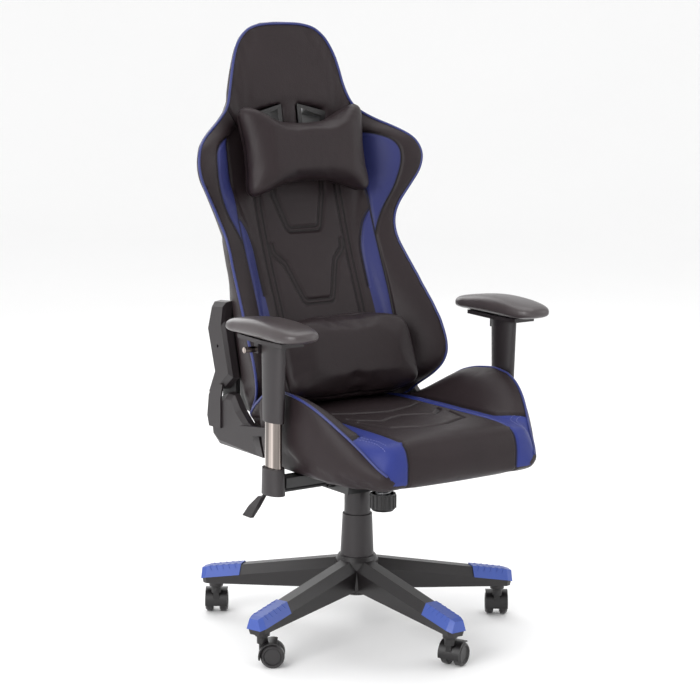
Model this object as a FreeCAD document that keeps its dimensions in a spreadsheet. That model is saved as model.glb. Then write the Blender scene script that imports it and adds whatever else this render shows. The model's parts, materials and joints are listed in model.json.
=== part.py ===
import FreeCAD, Part
import math
import os
import Sketcher

# Gaming chair on a five-leg caster base. Millimetres, +Z up.
# The chair faces -Y and the sitter's right is -X.
# The origin is on the floor, on the axis of the height column.

doc = FreeCAD.newDocument("gaming_chair")
sheet = doc.addObject("Spreadsheet::Sheet", "dims")


# ---------------------------------------------------------------- sizes


class Size:
    """A number together with the spreadsheet formula that gives it."""

    def __init__(self, value, formula):
        self.value = float(value)
        self.formula = formula

    def __add__(self, other):
        other = size_of(other)
        return Size(self.value + other.value, f"({self.formula} + {other.formula})")

    def __sub__(self, other):
        other = size_of(other)
        return Size(self.value - other.value, f"({self.formula} - {other.formula})")

    def __mul__(self, other):
        other = size_of(other)
        return Size(self.value * other.value, f"({self.formula} * {other.formula})")

    def __truediv__(self, other):
        other = size_of(other)
        return Size(self.value / other.value, f"({self.formula} / {other.formula})")

    def __neg__(self):
        return Size(-self.value, f"(0 - {self.formula})")

    def __radd__(self, other):
        return size_of(other) + self

    def __rsub__(self, other):
        return size_of(other) - self

    def __rmul__(self, other):
        return size_of(other) * self


def size_of(number):
    return number if isinstance(number, Size) else Size(number, f"({float(number):.9f})")


def sine(angle):
    return Size(math.sin(math.radians(angle.value)), f"sin({angle.formula} * 1deg)")


def cosine(angle):
    return Size(math.cos(math.radians(angle.value)), f"cos({angle.formula} * 1deg)")


def hypotenuse(a, b):
    return Size(math.hypot(a.value, b.value), f"sqrt({a.formula}^2 + {b.formula}^2)")


def slope_angle(rise, run):
    degrees = math.degrees(math.atan2(rise.value, run.value))
    return Size(degrees, f"(atan2({rise.formula}; {run.formula}) / 1deg)")


DRIVING_SIZES = {
    # five-leg base
    "leg_reach": 345,
    "hub_radius": 45,
    "hub_bottom": 88,
    "hub_top": 162,
    "leg_root": 25,
    "leg_root_top": 157,
    "leg_tip_top": 103,
    "leg_root_depth": 66,
    "leg_tip_depth": 34,
    "leg_ridge_half": 12,
    "leg_root_half": 27,
    "leg_tip_half": 21,
    "leg_bevel": 20,
    "leg_draft": 4,
    "toe_length": 12,
    "toe_drop": 4,
    "cap_length": 90,
    "cap_skin": 2.5,
    # casters
    "caster_circle": 317,
    "socket_radius": 15,
    "socket_bottom": 62,
    "socket_depth": 30,
    "stem_radius": 5,
    "stem_foot": 32,
    "running_gap": 0.05,
    "wheel_radius": 24,
    "wheel_width": 17,
    "wheel_edge": 4,
    "wheel_dish": 3,
    "caster_trail": 21,
    "web_half": 6.2,
    "wheel_side_gap": 0.5,
    "hood_gap": 1.4,
    "hood_wall": 3,
    "hood_reach": 9,
    "hood_skirt": 17,
    "caster_collar_radius": 11,
    "caster_height": 60,
    "axle_radius": 3,
    # height column
    "tube_radius": 25,
    "tube_wall": 1.8,
    "tube_bottom": 78,
    "tube_top": 238,
    "tube_floor": 4,
    "rod_radius": 5,
    "piston_radius": 11.5,
    "piston_length": 10,
    "piston_height": 226,
    "bearing_radius": 16,
    "bearing_height": 9,
    "cylinder_radius": 14,
    "cylinder_bottom": 147,
    "cylinder_top": 350,
    "cylinder_guide": 15,
    "bush_bottom": 166,
    "bush_flange": 3,
    "sleeve_foot_radius": 35,
    "sleeve_head_radius": 31,
    "sleeve_top": 250,
    "sleeve_wall": 2,
    "inner_sleeve_radius": 27.5,
    "inner_sleeve_wall": 1.5,
    "inner_sleeve_bottom": 194,
    # tilt mechanism
    "housing_bottom": 306,
    "housing_top": 352,
    "housing_half": 62,
    "housing_front": 125,
    "housing_rear": 70,
    "housing_wall": 3,
    "housing_step_height": 332,
    "housing_rear_top": 322,
    "clamp_radius": 20,
    "tilt_pivot_y": -45,
    "tilt_pivot_z": 337,
    "tilt_axle_radius": 6,
    "plate_level": 372,
    "plate_thickness": 4,
    "plate_half": 95,
    "plate_front": 100,
    "plate_rear": 95,
    "tension_y": -89,
    "tension_bolt_radius": 5,
    "knob_radius": 26,
    "knob_wall": 4,
    "knob_bottom": 274,
    "knob_top": 310,
    "knob_rib_radius": 2.2,
    "spring_radius": 15,
    "spring_wire": 2,
    "spring_pitch": 8,
    "lever_radius": 4,
    "lever_height": 331,
    "lever_bend_x": 228,
    "paddle_start_x": 240,
    "paddle_end_x": 276,
    "paddle_drop": 37,
    "lever_bush_radius": 9,
    # seat
    "seat_bottom": 384,
    "frame_tube": 20,
    "frame_half": 200,
    "frame_front": 300,
    "frame_rear": 110,
    "rail_half_width": 20,
    "rail_centre": 80,
    "strap_thickness": 2,
    "strap_width": 50,
    "seat_front": 345,
    "seat_rear": 125,
    "seat_level": 482,
    "seat_core_half": 145,
    "bolster_half": 263,
    "bolster_rise": 69,
    # recliner
    "recline_pivot_y": 155,
    "recline_pivot_z": 430,
    "recliner_plate_thickness": 5,
    "recliner_gear_radius": 28,
    "recliner_gear_thickness": 7,
    "recliner_arm_thickness": 4,
    "recliner_channel": 7,
    "side_gap": 0.3,
    "pin_radius": 8,
    "lower_cover_depth": 19,
    "upper_cover_step": 4,
    "cover_wall": 2.5,
    "cover_screw_radius": 3.5,
    "recline_lever_x": 265,
    "recline_lever_y": 22,
    "recline_lever_z": 452,
    "recline_lever_length": 100,
    "recline_lever_thickness": 9,
    "recline_shaft_radius": 5,
    # armrests
    "arm_x": 289,
    "arm_y": -117,
    "arm_bar_top": 384,
    "arm_bar_depth": 20,
    "arm_bar_half_width": 18,
    "arm_bar_inner_x": 150,
    "collar_bottom": 352,
    "collar_top": 405,
    "collar_long": 31,
    "collar_short": 19,
    "post_long": 24,
    "post_short": 12,
    "post_top": 565,
    "sheath_bottom": 497,
    "sheath_top": 652,
    "sheath_foot_long": 31,
    "sheath_head_long": 37,
    "sheath_short": 15,
    "pad_plate_thickness": 8,
    "pad_bottom": 660,
    "pad_thickness": 34,
    "pad_front": 237,
    "pad_rear": 23,
    "pad_front_half": 47,
    "pad_rear_half": 36,
    "arm_button_radius": 5,
    "arm_button_length": 26,
    "arm_button_travel": 2,
    # backrest
    "back_bottom": 495,
    "back_top": 1255,
    "panel_half": 103,
    "back_tube_radius": 10,
    "lower_cross_height": 560,
    "upper_cross_height": 985,
    "upright_x": 128,
    "bezel_wall": 10,
    "bezel_depth": 100,
    # pillows
    "lumbar_height": 582,
    "lumbar_half_length": 160,
    "lumbar_half_height": 91,
    "lumbar_half_thickness": 46,
    "neck_height": 989,
    "neck_half_length": 151,
    "neck_half_height": 83,
    "neck_half_thickness": 38,
    "pillow_gap": 4,
    # fasteners
    "bolt_radius": 4,
    "bolt_head_radius": 7,
    "bolt_head_height": 5,
}


class Dims:
    """The sheet's sizes by name."""


d = Dims()
for row, (alias, number) in enumerate(DRIVING_SIZES.items(), start=1):
    sheet.set(f"A{row}", alias)
    sheet.set(f"B{row}", str(number))
    sheet.setAlias(f"B{row}", alias)
    setattr(d, alias, Size(number, f"dims.{alias}"))
doc.recompute()


# ---------------------------------------------------------------- building blocks

parts = {}


def bind(obj, prop, size):
    obj.setExpression(prop, size_of(size).formula)


def sub_part(obj, label):
    """Names a finished piece, which is then written to its own file."""
    obj.Label = label
    parts[label] = obj
    return obj


def place(obj, x=0, y=0, z=0, axis=None, angle=0):
    if axis is not None:
        obj.Placement = FreeCAD.Placement(FreeCAD.Vector(), FreeCAD.Rotation(FreeCAD.Vector(*axis), 1))
        bind(obj, "Placement.Rotation.Angle", angle)
    for name, value in zip("xyz", (x, y, z)):
        bind(obj, f"Placement.Base.{name}", value)
    return obj


def sketch_on(body, plane, offset=0):
    """An empty sketch on one of the body's own planes, moved along the plane's normal."""
    sketch = body.newObject("Sketcher::SketchObject", "outline")
    origin_plane = [f for f in body.Origin.OriginFeatures if f.Role == plane][0]
    sketch.AttachmentSupport = [(origin_plane, "")]
    sketch.MapMode = "FlatFace"
    bind(sketch, "AttachmentOffset.Base.z", offset)
    return sketch


def draw_polygon(sketch, points):
    """A closed outline whose corners are tied to the sheet."""
    points = [(size_of(u), size_of(v)) for u, v in points]
    first = sketch.GeometryCount
    count = len(points)
    for i in range(count):
        start, end = points[i], points[(i + 1) % count]
        sketch.addGeometry(
            Part.LineSegment(
                FreeCAD.Vector(start[0].value, start[1].value, 0),
                FreeCAD.Vector(end[0].value, end[1].value, 0),
            )
        )
    for i in range(count):
        sketch.addConstraint(Sketcher.Constraint("Coincident", first + i, 2, first + (i + 1) % count, 1))
    for i, (u, v) in enumerate(points):
        for kind, value in (("DistanceX", u), ("DistanceY", v)):
            index = sketch.addConstraint(Sketcher.Constraint(kind, -1, 1, first + i, 1, value.value))
            sketch.setExpression(f"Constraints[{index}]", value.formula)


def prism(name, plane, outline, start, end, holes=()):
    """A body of constant outline from start to end along the plane's axis (+X, +Y or +Z)."""
    start, end = size_of(start), size_of(end)
    body = doc.addObject("PartDesign::Body", name)
    # The XZ plane faces -Y, so there the pad starts at the far end and runs back.
    sketch = sketch_on(body, plane, -end if plane == "XZ_Plane" else start)
    draw_polygon(sketch, outline)
    for hole in holes:
        draw_polygon(sketch, hole)
    pad = body.newObject("PartDesign::Pad", "pad")
    pad.Profile = sketch
    bind(pad, "Length", end - start)
    return body


def turned(name, outline):
    """A body turned about Z from an outline of (radius, height) points."""
    body = doc.addObject("PartDesign::Body", name)
    sketch = sketch_on(body, "XZ_Plane")
    draw_polygon(sketch, outline)
    revolution = body.newObject("PartDesign::Revolution", "turn")
    revolution.Profile = sketch
    revolution.ReferenceAxis = (sketch, ["V_Axis"])
    revolution.Angle = 360
    return body


def lofted(name, plane, sections):
    """A body with flat facets between outlines given as (offset along the plane's normal, points)."""
    body = doc.addObject("PartDesign::Body", name)
    sketches = []
    for offset, points in sections:
        sketch = sketch_on(body, plane, offset)
        draw_polygon(sketch, points)
        sketches.append(sketch)
    loft = body.newObject("PartDesign::AdditiveLoft", "loft")
    loft.Profile = sketches[0]
    loft.Sections = sketches[1:]
    loft.Ruled = True
    return body




def block(x, y, z):
    """A box from its (low, high) pair on each axis."""
    obj = doc.addObject("Part::Box", "block")
    for prop, (low, high) in zip(("Length", "Width", "Height"), (x, y, z)):
        bind(obj, prop, size_of(high) - low)
    return place(obj, x[0], y[0], z[0])


def rod(radius, length, x=0, y=0, z=0, axis=None, angle=0):
    """A cylinder that starts at a point and runs along Z, or along Z turned about an axis."""
    obj = doc.addObject("Part::Cylinder", "rod")
    bind(obj, "Radius", radius)
    bind(obj, "Height", length)
    return place(obj, x, y, z, axis, angle)


def rod_x(radius, start, end, y, z):
    """A cylinder along +X between two places."""
    return rod(radius, size_of(end) - start, start, y, z, (0, 1, 0), 90)


def fuse(*shapes):
    obj = doc.addObject("Part::MultiFuse", "fuse")
    obj.Shapes = list(shapes)
    obj.Refine = True
    return obj


def cut(base, *tools):
    obj = doc.addObject("Part::Cut", "cut")
    obj.Base = base
    obj.Tool = tools[0] if len(tools) == 1 else fuse(*tools)
    return obj


def common(*shapes):
    obj = doc.addObject("Part::MultiCommon", "common")
    obj.Shapes = list(shapes)
    return obj


def group(*shapes):
    """Separate solids that share one node."""
    obj = doc.addObject("Part::Compound", "group")
    obj.Links = list(shapes)
    return obj


def mirrored(source):
    """The same piece on the other side of the chair."""
    obj = doc.addObject("Part::Mirroring", "mirrored")
    obj.Source = source
    obj.Normal = FreeCAD.Vector(1, 0, 0)
    return obj


def pair(name, source):
    """A piece on the sitter's left (+X) and its mirror image on the right."""
    sub_part(source, f"{name}_left")
    sub_part(mirrored(source), f"{name}_right")


def both(name, source):
    """A piece and its mirror image as two solids in one node."""
    sub_part(group(source, mirrored(source)), name)


def ellipse_prism(long_half, short_half, bottom, top, x, y, head_long=None):
    """An upright oval bar: long across Y, short across X. It may widen along Y towards its top."""
    head_long = head_long or long_half
    sections = []
    for level, half in ((bottom, long_half), (top, head_long)):
        wire = doc.addObject("Part::Ellipse", "oval")
        bind(wire, "MajorRadius", half)
        bind(wire, "MinorRadius", short_half)
        place(wire, x, y, level, (0, 0, 1), 90)
        sections.append(wire)
    obj = doc.addObject("Part::Loft", "oval_bar")
    obj.Sections = sections
    obj.Solid = True
    obj.Ruled = True
    return obj


# ---------------------------------------------------------------- five-leg base

LEG_COUNT = 5
LEG_ANGLES = [270 + i * 360 / LEG_COUNT for i in range(LEG_COUNT)]


def leg_share(distance):
    """How far along the leg a distance lies, from 0 at the root to 1 at the toe's start."""
    return (distance - d.leg_root) / (d.leg_reach - d.toe_length - d.leg_root)


def blend(a, b, share):
    return a + (b - a) * share


def leg_outline(distance, squeeze=0, drop=0):
    """The leg's six-sided section: a ridge, two bevels and slightly drafted sides."""
    share = leg_share(distance)
    top = blend(d.leg_root_top, d.leg_tip_top, share) - drop
    bottom = blend(d.leg_root_top - d.leg_root_depth, d.leg_tip_top - d.leg_tip_depth, share)
    half = blend(d.leg_root_half, d.leg_tip_half, share) - squeeze
    ridge = d.leg_ridge_half - size_of(squeeze) / 2
    shoulder = top - d.leg_bevel
    foot = half - d.leg_draft
    return [
        (-ridge, top),
        (ridge, top),
        (half, shoulder),
        (foot, bottom),
        (-foot, bottom),
        (-half, shoulder),
    ]


def cap_outline(distance, squeeze=0, drop=0):
    """The toe cap's outer section over the ridge and the two bevels."""
    share = leg_share(distance)
    top = blend(d.leg_root_top, d.leg_tip_top, share) - drop
    half = blend(d.leg_root_half, d.leg_tip_half, share) - squeeze + d.cap_skin
    ridge = d.leg_ridge_half - size_of(squeeze) / 2 + d.cap_skin / 2
    shoulder = top - d.leg_bevel
    return [(-ridge, top + d.cap_skin), (ridge, top + d.cap_skin), (half, shoulder), (-half, shoulder)]


def leg_body():
    toe_start = d.leg_reach - d.toe_length
    sections = [
        (d.leg_root, leg_outline(d.leg_root)),
        (toe_start, leg_outline(toe_start)),
        (d.leg_reach - d.cap_skin, leg_outline(toe_start, d.toe_length / 2, d.toe_drop)),
    ]
    return lofted("leg", "XZ_Plane", sections)


def turned_copy(source, angle):
    """A copy of a piece turned about the column's axis."""
    obj = doc.addObject("Part::Compound", "turned_copy")
    obj.Links = [source]
    return place(obj, axis=(0, 0, 1), angle=angle)


def make_base():
    leg = leg_body()
    socket = turned(
        "socket",
        [
            (0, d.socket_bottom),
            (d.socket_radius, d.socket_bottom),
            (d.socket_radius + 2, d.leg_tip_top - 12),
            (0, d.leg_tip_top - 12),
        ],
    )
    place(socket, y=-d.caster_circle)
    solid_leg = fuse(leg, socket)
    bore = rod(d.stem_radius, d.socket_depth, 0, -d.caster_circle, d.socket_bottom)
    one_leg = cut(solid_leg, bore)
    hub = turned(
        "hub",
        [
            (d.tube_radius, d.hub_bottom),
            (d.hub_radius - 4, d.hub_bottom),
            (d.hub_radius, d.hub_bottom + 6),
            (d.hub_radius, d.hub_top - 10),
            (d.hub_radius - 6, d.hub_top),
            (d.tube_radius, d.hub_top),
        ],
    )
    legs = [turned_copy(one_leg, angle - LEG_ANGLES[0]) for angle in LEG_ANGLES]
    column_bore = rod(d.tube_radius, d.hub_top, 0, 0, 0)
    sub_part(cut(fuse(hub, *legs), column_bore), "star_base")

    toe_start = d.leg_reach - d.toe_length
    cap_shell = lofted(
        "cap",
        "XZ_Plane",
        [
            (d.leg_reach - d.cap_length, cap_outline(d.leg_reach - d.cap_length)),
            (toe_start, cap_outline(toe_start)),
            (d.leg_reach, cap_outline(toe_start, d.toe_length / 2, d.toe_drop)),
        ],
    )
    cap = cut(cap_shell, leg)
    sub_part(group(*[turned_copy(cap, angle - LEG_ANGLES[0]) for angle in LEG_ANGLES]), "foot_covers")

    stem = rod(
        d.stem_radius,
        d.socket_bottom + d.socket_depth - d.stem_foot,
        0,
        -d.caster_circle,
        d.stem_foot,
    )
    sub_part(group(*[turned_copy(stem, angle - LEG_ANGLES[0]) for angle in LEG_ANGLES]), "caster_stems")


def make_casters():
    """Twin-wheel casters. Each is made with its stem on the origin and its wheels trailing along +X."""
    trail_angles = (24, 54, 100, 54, -36)
    fender = d.wheel_radius + d.hood_gap + d.hood_wall
    wheel_inner = d.web_half + d.wheel_side_gap
    wheel_outer = wheel_inner + d.wheel_width
    for number, (leg_angle, trail_angle) in enumerate(zip(LEG_ANGLES, trail_angles), start=1):
        x = d.caster_circle * cosine(size_of(leg_angle))
        y = d.caster_circle * sine(size_of(leg_angle))
        arch = cut(
            rod(fender, wheel_outer * 2, d.caster_trail, wheel_outer, d.wheel_radius, (1, 0, 0), 90),
            rod(
                fender - d.hood_wall,
                wheel_outer * 2 + 2,
                d.caster_trail,
                wheel_outer + 1,
                d.wheel_radius,
                (1, 0, 0),
                90,
            ),
        )
        web = rod(fender - 1, d.web_half * 2, d.caster_trail, d.web_half, d.wheel_radius, (1, 0, 0), 90)
        keep = block(
            (-d.hood_skirt, d.caster_trail + d.hood_reach),
            (-wheel_outer - 1, wheel_outer + 1),
            (d.hood_skirt, d.caster_height),
        )
        collar = rod(d.caster_collar_radius, d.caster_height - 46.5, 0, 0, 46.5)
        nose = block((-d.web_half, d.web_half), (-d.web_half, d.web_half), (d.stem_foot - 4, 47))
        hood = cut(
            fuse(common(fuse(arch, web), keep), collar, nose),
            rod(d.stem_radius + d.running_gap, d.caster_height, 0, 0, d.stem_foot - 0.5),
            rod(
                d.axle_radius + d.running_gap,
                wheel_outer * 2,
                d.caster_trail,
                wheel_outer,
                d.wheel_radius,
                (1, 0, 0),
                90,
            ),
        )
        sub_part(place(hood, x, y, 0, (0, 0, 1), trail_angle), f"caster_hood_{number}")

        wheels = []
        for turn in (-90, 90):
            wheel = turned(
                "wheel",
                [
                    (d.axle_radius, wheel_inner),
                    (d.wheel_radius - d.wheel_edge, wheel_inner),
                    (d.wheel_radius, wheel_inner + 2),
                    (d.wheel_radius, wheel_outer - d.wheel_edge),
                    (d.wheel_radius - d.wheel_edge, wheel_outer),
                    (d.wheel_radius - d.wheel_edge - 2, wheel_outer),
                    (d.wheel_radius - d.wheel_edge - 4, wheel_outer - d.wheel_dish),
                    (d.axle_radius, wheel_outer - d.wheel_dish),
                ],
            )
            wheels.append(place(wheel, d.caster_trail, 0, d.wheel_radius, (1, 0, 0), turn))
        axle = rod(
            d.axle_radius,
            (wheel_outer - d.wheel_dish) * 2,
            d.caster_trail,
            wheel_outer - d.wheel_dish,
            d.wheel_radius,
            (1, 0, 0),
            90,
        )
        wheel_set = group(*wheels, axle)
        sub_part(place(wheel_set, x, y, 0, (0, 0, 1), trail_angle), f"caster_wheels_{number}")


# ---------------------------------------------------------------- height column


def make_column():
    bore = d.tube_radius - d.tube_wall
    sub_part(
        turned(
            "tube",
            [
                (d.rod_radius + d.running_gap, d.tube_bottom),
                (d.tube_radius, d.tube_bottom),
                (d.tube_radius, d.tube_top),
                (bore, d.tube_top),
                (bore, d.tube_bottom + d.tube_floor),
                (d.rod_radius + d.running_gap, d.tube_bottom + d.tube_floor),
            ],
        ),
        "column_tube",
    )
    slide = d.cylinder_radius + d.running_gap
    sub_part(
        turned(
            "bush",
            [
                (slide, d.bush_bottom),
                (bore, d.bush_bottom),
                (bore, d.tube_top),
                (d.tube_radius, d.tube_top),
                (d.tube_radius, d.tube_top + d.bush_flange),
                (slide, d.tube_top + d.bush_flange),
            ],
        ),
        "column_bush",
    )
    sub_part(
        turned(
            "bearing",
            [
                (d.rod_radius + d.running_gap, d.tube_bottom + d.tube_floor),
                (d.bearing_radius, d.tube_bottom + d.tube_floor),
                (d.bearing_radius, d.tube_bottom + d.tube_floor + d.bearing_height),
                (d.rod_radius + d.running_gap, d.tube_bottom + d.tube_floor + d.bearing_height),
            ],
        ),
        "thrust_bearing",
    )
    shoulder = d.tube_bottom + d.tube_floor + d.bearing_height + 0.1
    sub_part(
        turned(
            "rod",
            [
                (0, d.tube_bottom),
                (d.rod_radius, d.tube_bottom),
                (d.rod_radius, shoulder),
                (d.rod_radius + 4, shoulder),
                (d.rod_radius + 4, shoulder + 4),
                (d.rod_radius, shoulder + 4),
                (d.rod_radius, d.piston_height),
                (d.piston_radius - d.running_gap, d.piston_height),
                (d.piston_radius - d.running_gap, d.piston_height + d.piston_length),
                (0, d.piston_height + d.piston_length),
            ],
        ),
        "piston_rod",
    )
    sub_part(
        turned(
            "cylinder",
            [
                (d.rod_radius + d.running_gap, d.cylinder_bottom),
                (d.cylinder_radius, d.cylinder_bottom),
                (d.cylinder_radius, d.cylinder_top),
                (0, d.cylinder_top),
                (0, d.cylinder_top - 20),
                (d.piston_radius, d.cylinder_top - 20),
                (d.piston_radius, d.cylinder_bottom + d.cylinder_guide),
                (d.rod_radius + d.running_gap, d.cylinder_bottom + d.cylinder_guide),
            ],
        ),
        "gas_cylinder",
    )
    inner = d.sleeve_head_radius - d.sleeve_wall
    sub_part(
        turned(
            "lower_sleeve",
            [
                (d.sleeve_foot_radius - d.sleeve_wall, d.hub_top),
                (d.sleeve_foot_radius, d.hub_top),
                (d.sleeve_head_radius, d.sleeve_top),
                (inner, d.sleeve_top),
                (inner, d.sleeve_top - 4),
            ],
        ),
        "dust_sleeve_lower",
    )
    sub_part(
        turned(
            "upper_sleeve",
            [
                (d.inner_sleeve_radius - d.inner_sleeve_wall, d.inner_sleeve_bottom),
                (d.inner_sleeve_radius, d.inner_sleeve_bottom),
                (d.inner_sleeve_radius, d.housing_bottom),
                (d.cylinder_radius, d.housing_bottom),
                (d.cylinder_radius, d.housing_bottom - 3),
                (d.inner_sleeve_radius - d.inner_sleeve_wall, d.housing_bottom - 3),
            ],
        ),
        "dust_sleeve_upper",
    )


# ---------------------------------------------------------------- tilt mechanism


def make_mechanism():
    wall = d.housing_wall
    side = [
        (d.housing_rear, d.housing_bottom),
        (d.housing_rear, d.housing_rear_top),
        (d.tilt_pivot_y, d.housing_top),
        (-d.housing_front, d.housing_top),
        (-d.housing_front, d.housing_step_height),
        (d.tension_y + d.knob_radius + 6, d.housing_step_height),
        (d.tension_y + d.knob_radius + 12, d.housing_bottom),
    ]
    outer = prism("housing", "YZ_Plane", side, -d.housing_half, d.housing_half)
    hollow = fuse(
        block(
            (-d.housing_half + wall, d.housing_half - wall),
            (d.tension_y + d.knob_radius + 12 + wall, d.housing_rear - wall),
            (d.housing_bottom + wall, d.housing_top + 1),
        ),
        block(
            (-d.housing_half + wall, d.housing_half - wall),
            (-d.housing_front + wall, d.housing_rear - wall),
            (d.housing_step_height + wall, d.housing_top + 1),
        ),
    )
    clamp = rod(d.clamp_radius, d.cylinder_top - d.housing_bottom - 12, 0, 0, d.housing_bottom)
    axle_hole = rod_x(
        d.tilt_axle_radius,
        -d.housing_half - 1,
        d.housing_half + 1,
        d.tilt_pivot_y,
        d.tilt_pivot_z,
    )
    bolt_slot = block(
        (-7, 7),
        (d.tension_y - 12, d.tension_y + 12),
        (d.housing_step_height - 1, d.housing_step_height + 5),
    )
    bush_hole = rod_x(
        d.lever_bush_radius + d.running_gap,
        -d.housing_half - 1,
        -d.housing_half + wall + 1,
        0,
        d.lever_height - 9,
    )
    column_hole = rod(d.cylinder_radius, 80, 0, 0, d.housing_bottom - 1)
    sub_part(
        cut(fuse(cut(outer, hollow), clamp), axle_hole, bolt_slot, bush_hole, column_hole),
        "mechanism_housing",
    )

    flange_outer = d.housing_half + 4 + d.plate_thickness
    sub_part(
        rod_x(d.tilt_axle_radius, -flange_outer - 2, flange_outer + 2, d.tilt_pivot_y, d.tilt_pivot_z),
        "tilt_axle",
    )

    plate = block(
        (-d.plate_half, d.plate_half),
        (-d.plate_front, d.plate_rear),
        (d.plate_level, d.plate_level + d.plate_thickness),
    )
    flanges = []
    for inner, outer_x in (
        (-flange_outer, -flange_outer + d.plate_thickness),
        (flange_outer - d.plate_thickness, flange_outer),
    ):
        flanges.append(
            block(
                (inner, outer_x),
                (d.tilt_pivot_y - 18, d.tilt_pivot_y + 18),
                (d.tilt_pivot_z - 12, d.plate_level),
            )
        )
    flange_hole = rod_x(
        d.tilt_axle_radius + d.running_gap, -flange_outer - 1, flange_outer + 1, d.tilt_pivot_y, d.tilt_pivot_z
    )
    holes = [
        rod(d.bolt_radius, 20, x, y, d.plate_level - 1)
        for x in (-d.rail_centre, d.rail_centre)
        for y in (-d.plate_front + 15, d.plate_rear - 15)
    ]
    tension_hole = rod(d.tension_bolt_radius, 20, 0, d.tension_y, d.plate_level - 1)
    sub_part(cut(fuse(plate, *flanges), flange_hole, tension_hole, *holes), "tilt_plate")

    bolt = turned(
        "tension_bolt",
        [
            (0, d.knob_bottom + 1),
            (d.tension_bolt_radius, d.knob_bottom + 1),
            (d.tension_bolt_radius, d.plate_level + d.plate_thickness),
            (0, d.plate_level + d.plate_thickness),
        ],
    )
    sub_part(place(bolt, y=d.tension_y), "tension_bolt")

    cup = turned(
        "cup",
        [
            (d.tension_bolt_radius + d.running_gap, d.knob_bottom),
            (d.knob_radius - 4, d.knob_bottom),
            (d.knob_radius, d.knob_bottom + 5),
            (d.knob_radius, d.knob_top),
            (d.knob_radius - d.knob_wall, d.knob_top),
            (d.knob_radius - d.knob_wall, d.knob_bottom + 6),
            (d.tension_bolt_radius + d.running_gap, d.knob_bottom + 6),
        ],
    )
    ribs = []
    rib_count = 16
    for i in range(rib_count):
        angle = size_of(i * 360 / rib_count)
        ribs.append(
            rod(
                d.knob_rib_radius,
                d.knob_top - d.knob_bottom - 9,
                d.knob_radius * cosine(angle),
                d.knob_radius * sine(angle),
                d.knob_bottom + 6,
            )
        )
    sub_part(place(fuse(cup, *ribs), y=d.tension_y), "tension_knob")

    spring_foot = d.knob_bottom + 6 + d.spring_wire + 0.2
    coil = doc.addObject("Part::Helix", "coil")
    bind(coil, "Pitch", d.spring_pitch)
    bind(coil, "Height", d.housing_step_height - 0.2 - d.spring_wire - spring_foot)
    bind(coil, "Radius", d.spring_radius)
    place(coil, 0, d.tension_y, spring_foot)
    wire = doc.addObject("Part::Circle", "wire")
    bind(wire, "Radius", d.spring_wire)
    place(wire, d.spring_radius, d.tension_y, spring_foot, (1, 0, 0), 90)
    spring = doc.addObject("Part::Sweep", "spring")
    spring.Sections = [wire]
    spring.Spine = (coil, [])
    spring.Solid = True
    spring.Frenet = True
    sub_part(spring, "tension_spring")


def make_lift_lever():
    """The lever under the sitter's right side: a rod in a sliding bush, bent down to a paddle."""
    level = d.lever_height - 9
    bush = rod_x(d.lever_bush_radius, -d.housing_half - 16, -d.housing_half + 12, 0, level)
    bush_bore = rod_x(d.lever_radius + 3, -d.housing_half - 17, -d.housing_half + 13, 0, level)
    pin = rod(
        1.5,
        d.lever_bush_radius * 2 - 2,
        -d.housing_half - 8,
        d.lever_bush_radius - 1,
        level,
        (1, 0, 0),
        90,
    )
    sub_part(fuse(cut(bush, bush_bore), pin), "lever_bush")

    straight = rod_x(d.lever_radius, -d.lever_bend_x, -d.housing_half + 18, 0, level)
    run = d.paddle_start_x + 8 - d.lever_bend_x
    bent = rod(d.lever_radius, run * 1.35, -d.lever_bend_x, 0, level, (0, -1, 0), 132)
    elbow = doc.addObject("Part::Sphere", "elbow")
    bind(elbow, "Radius", d.lever_radius)
    place(elbow, -d.lever_bend_x, 0, level)
    pin_hole = rod(1.5 + d.running_gap, 30, -d.housing_half - 8, 15, level, (1, 0, 0), 90)
    bar = cut(fuse(straight, elbow, bent), pin_hole)
    sub_part(bar, "lift_lever_rod")

    top = level - 5
    paddle = lofted(
        "paddle",
        "XY_Plane",
        [
            (
                top - d.paddle_drop,
                [
                    (-d.paddle_end_x, -15),
                    (-d.paddle_end_x + 7, -16),
                    (-d.paddle_end_x + 7, 16),
                    (-d.paddle_end_x, 15),
                ],
            ),
            (
                top - d.paddle_drop / 2,
                [
                    (-d.paddle_end_x + 14, -13),
                    (-d.paddle_end_x + 25, -13),
                    (-d.paddle_end_x + 25, 13),
                    (-d.paddle_end_x + 14, 13),
                ],
            ),
            (
                top,
                [
                    (-d.paddle_start_x - 4, -6),
                    (-d.paddle_start_x + 8, -6),
                    (-d.paddle_start_x + 8, 6),
                    (-d.paddle_start_x - 4, 6),
                ],
            ),
        ],
    )
    sub_part(cut(paddle, bar), "lift_lever_paddle")


# ---------------------------------------------------------------- seat


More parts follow.
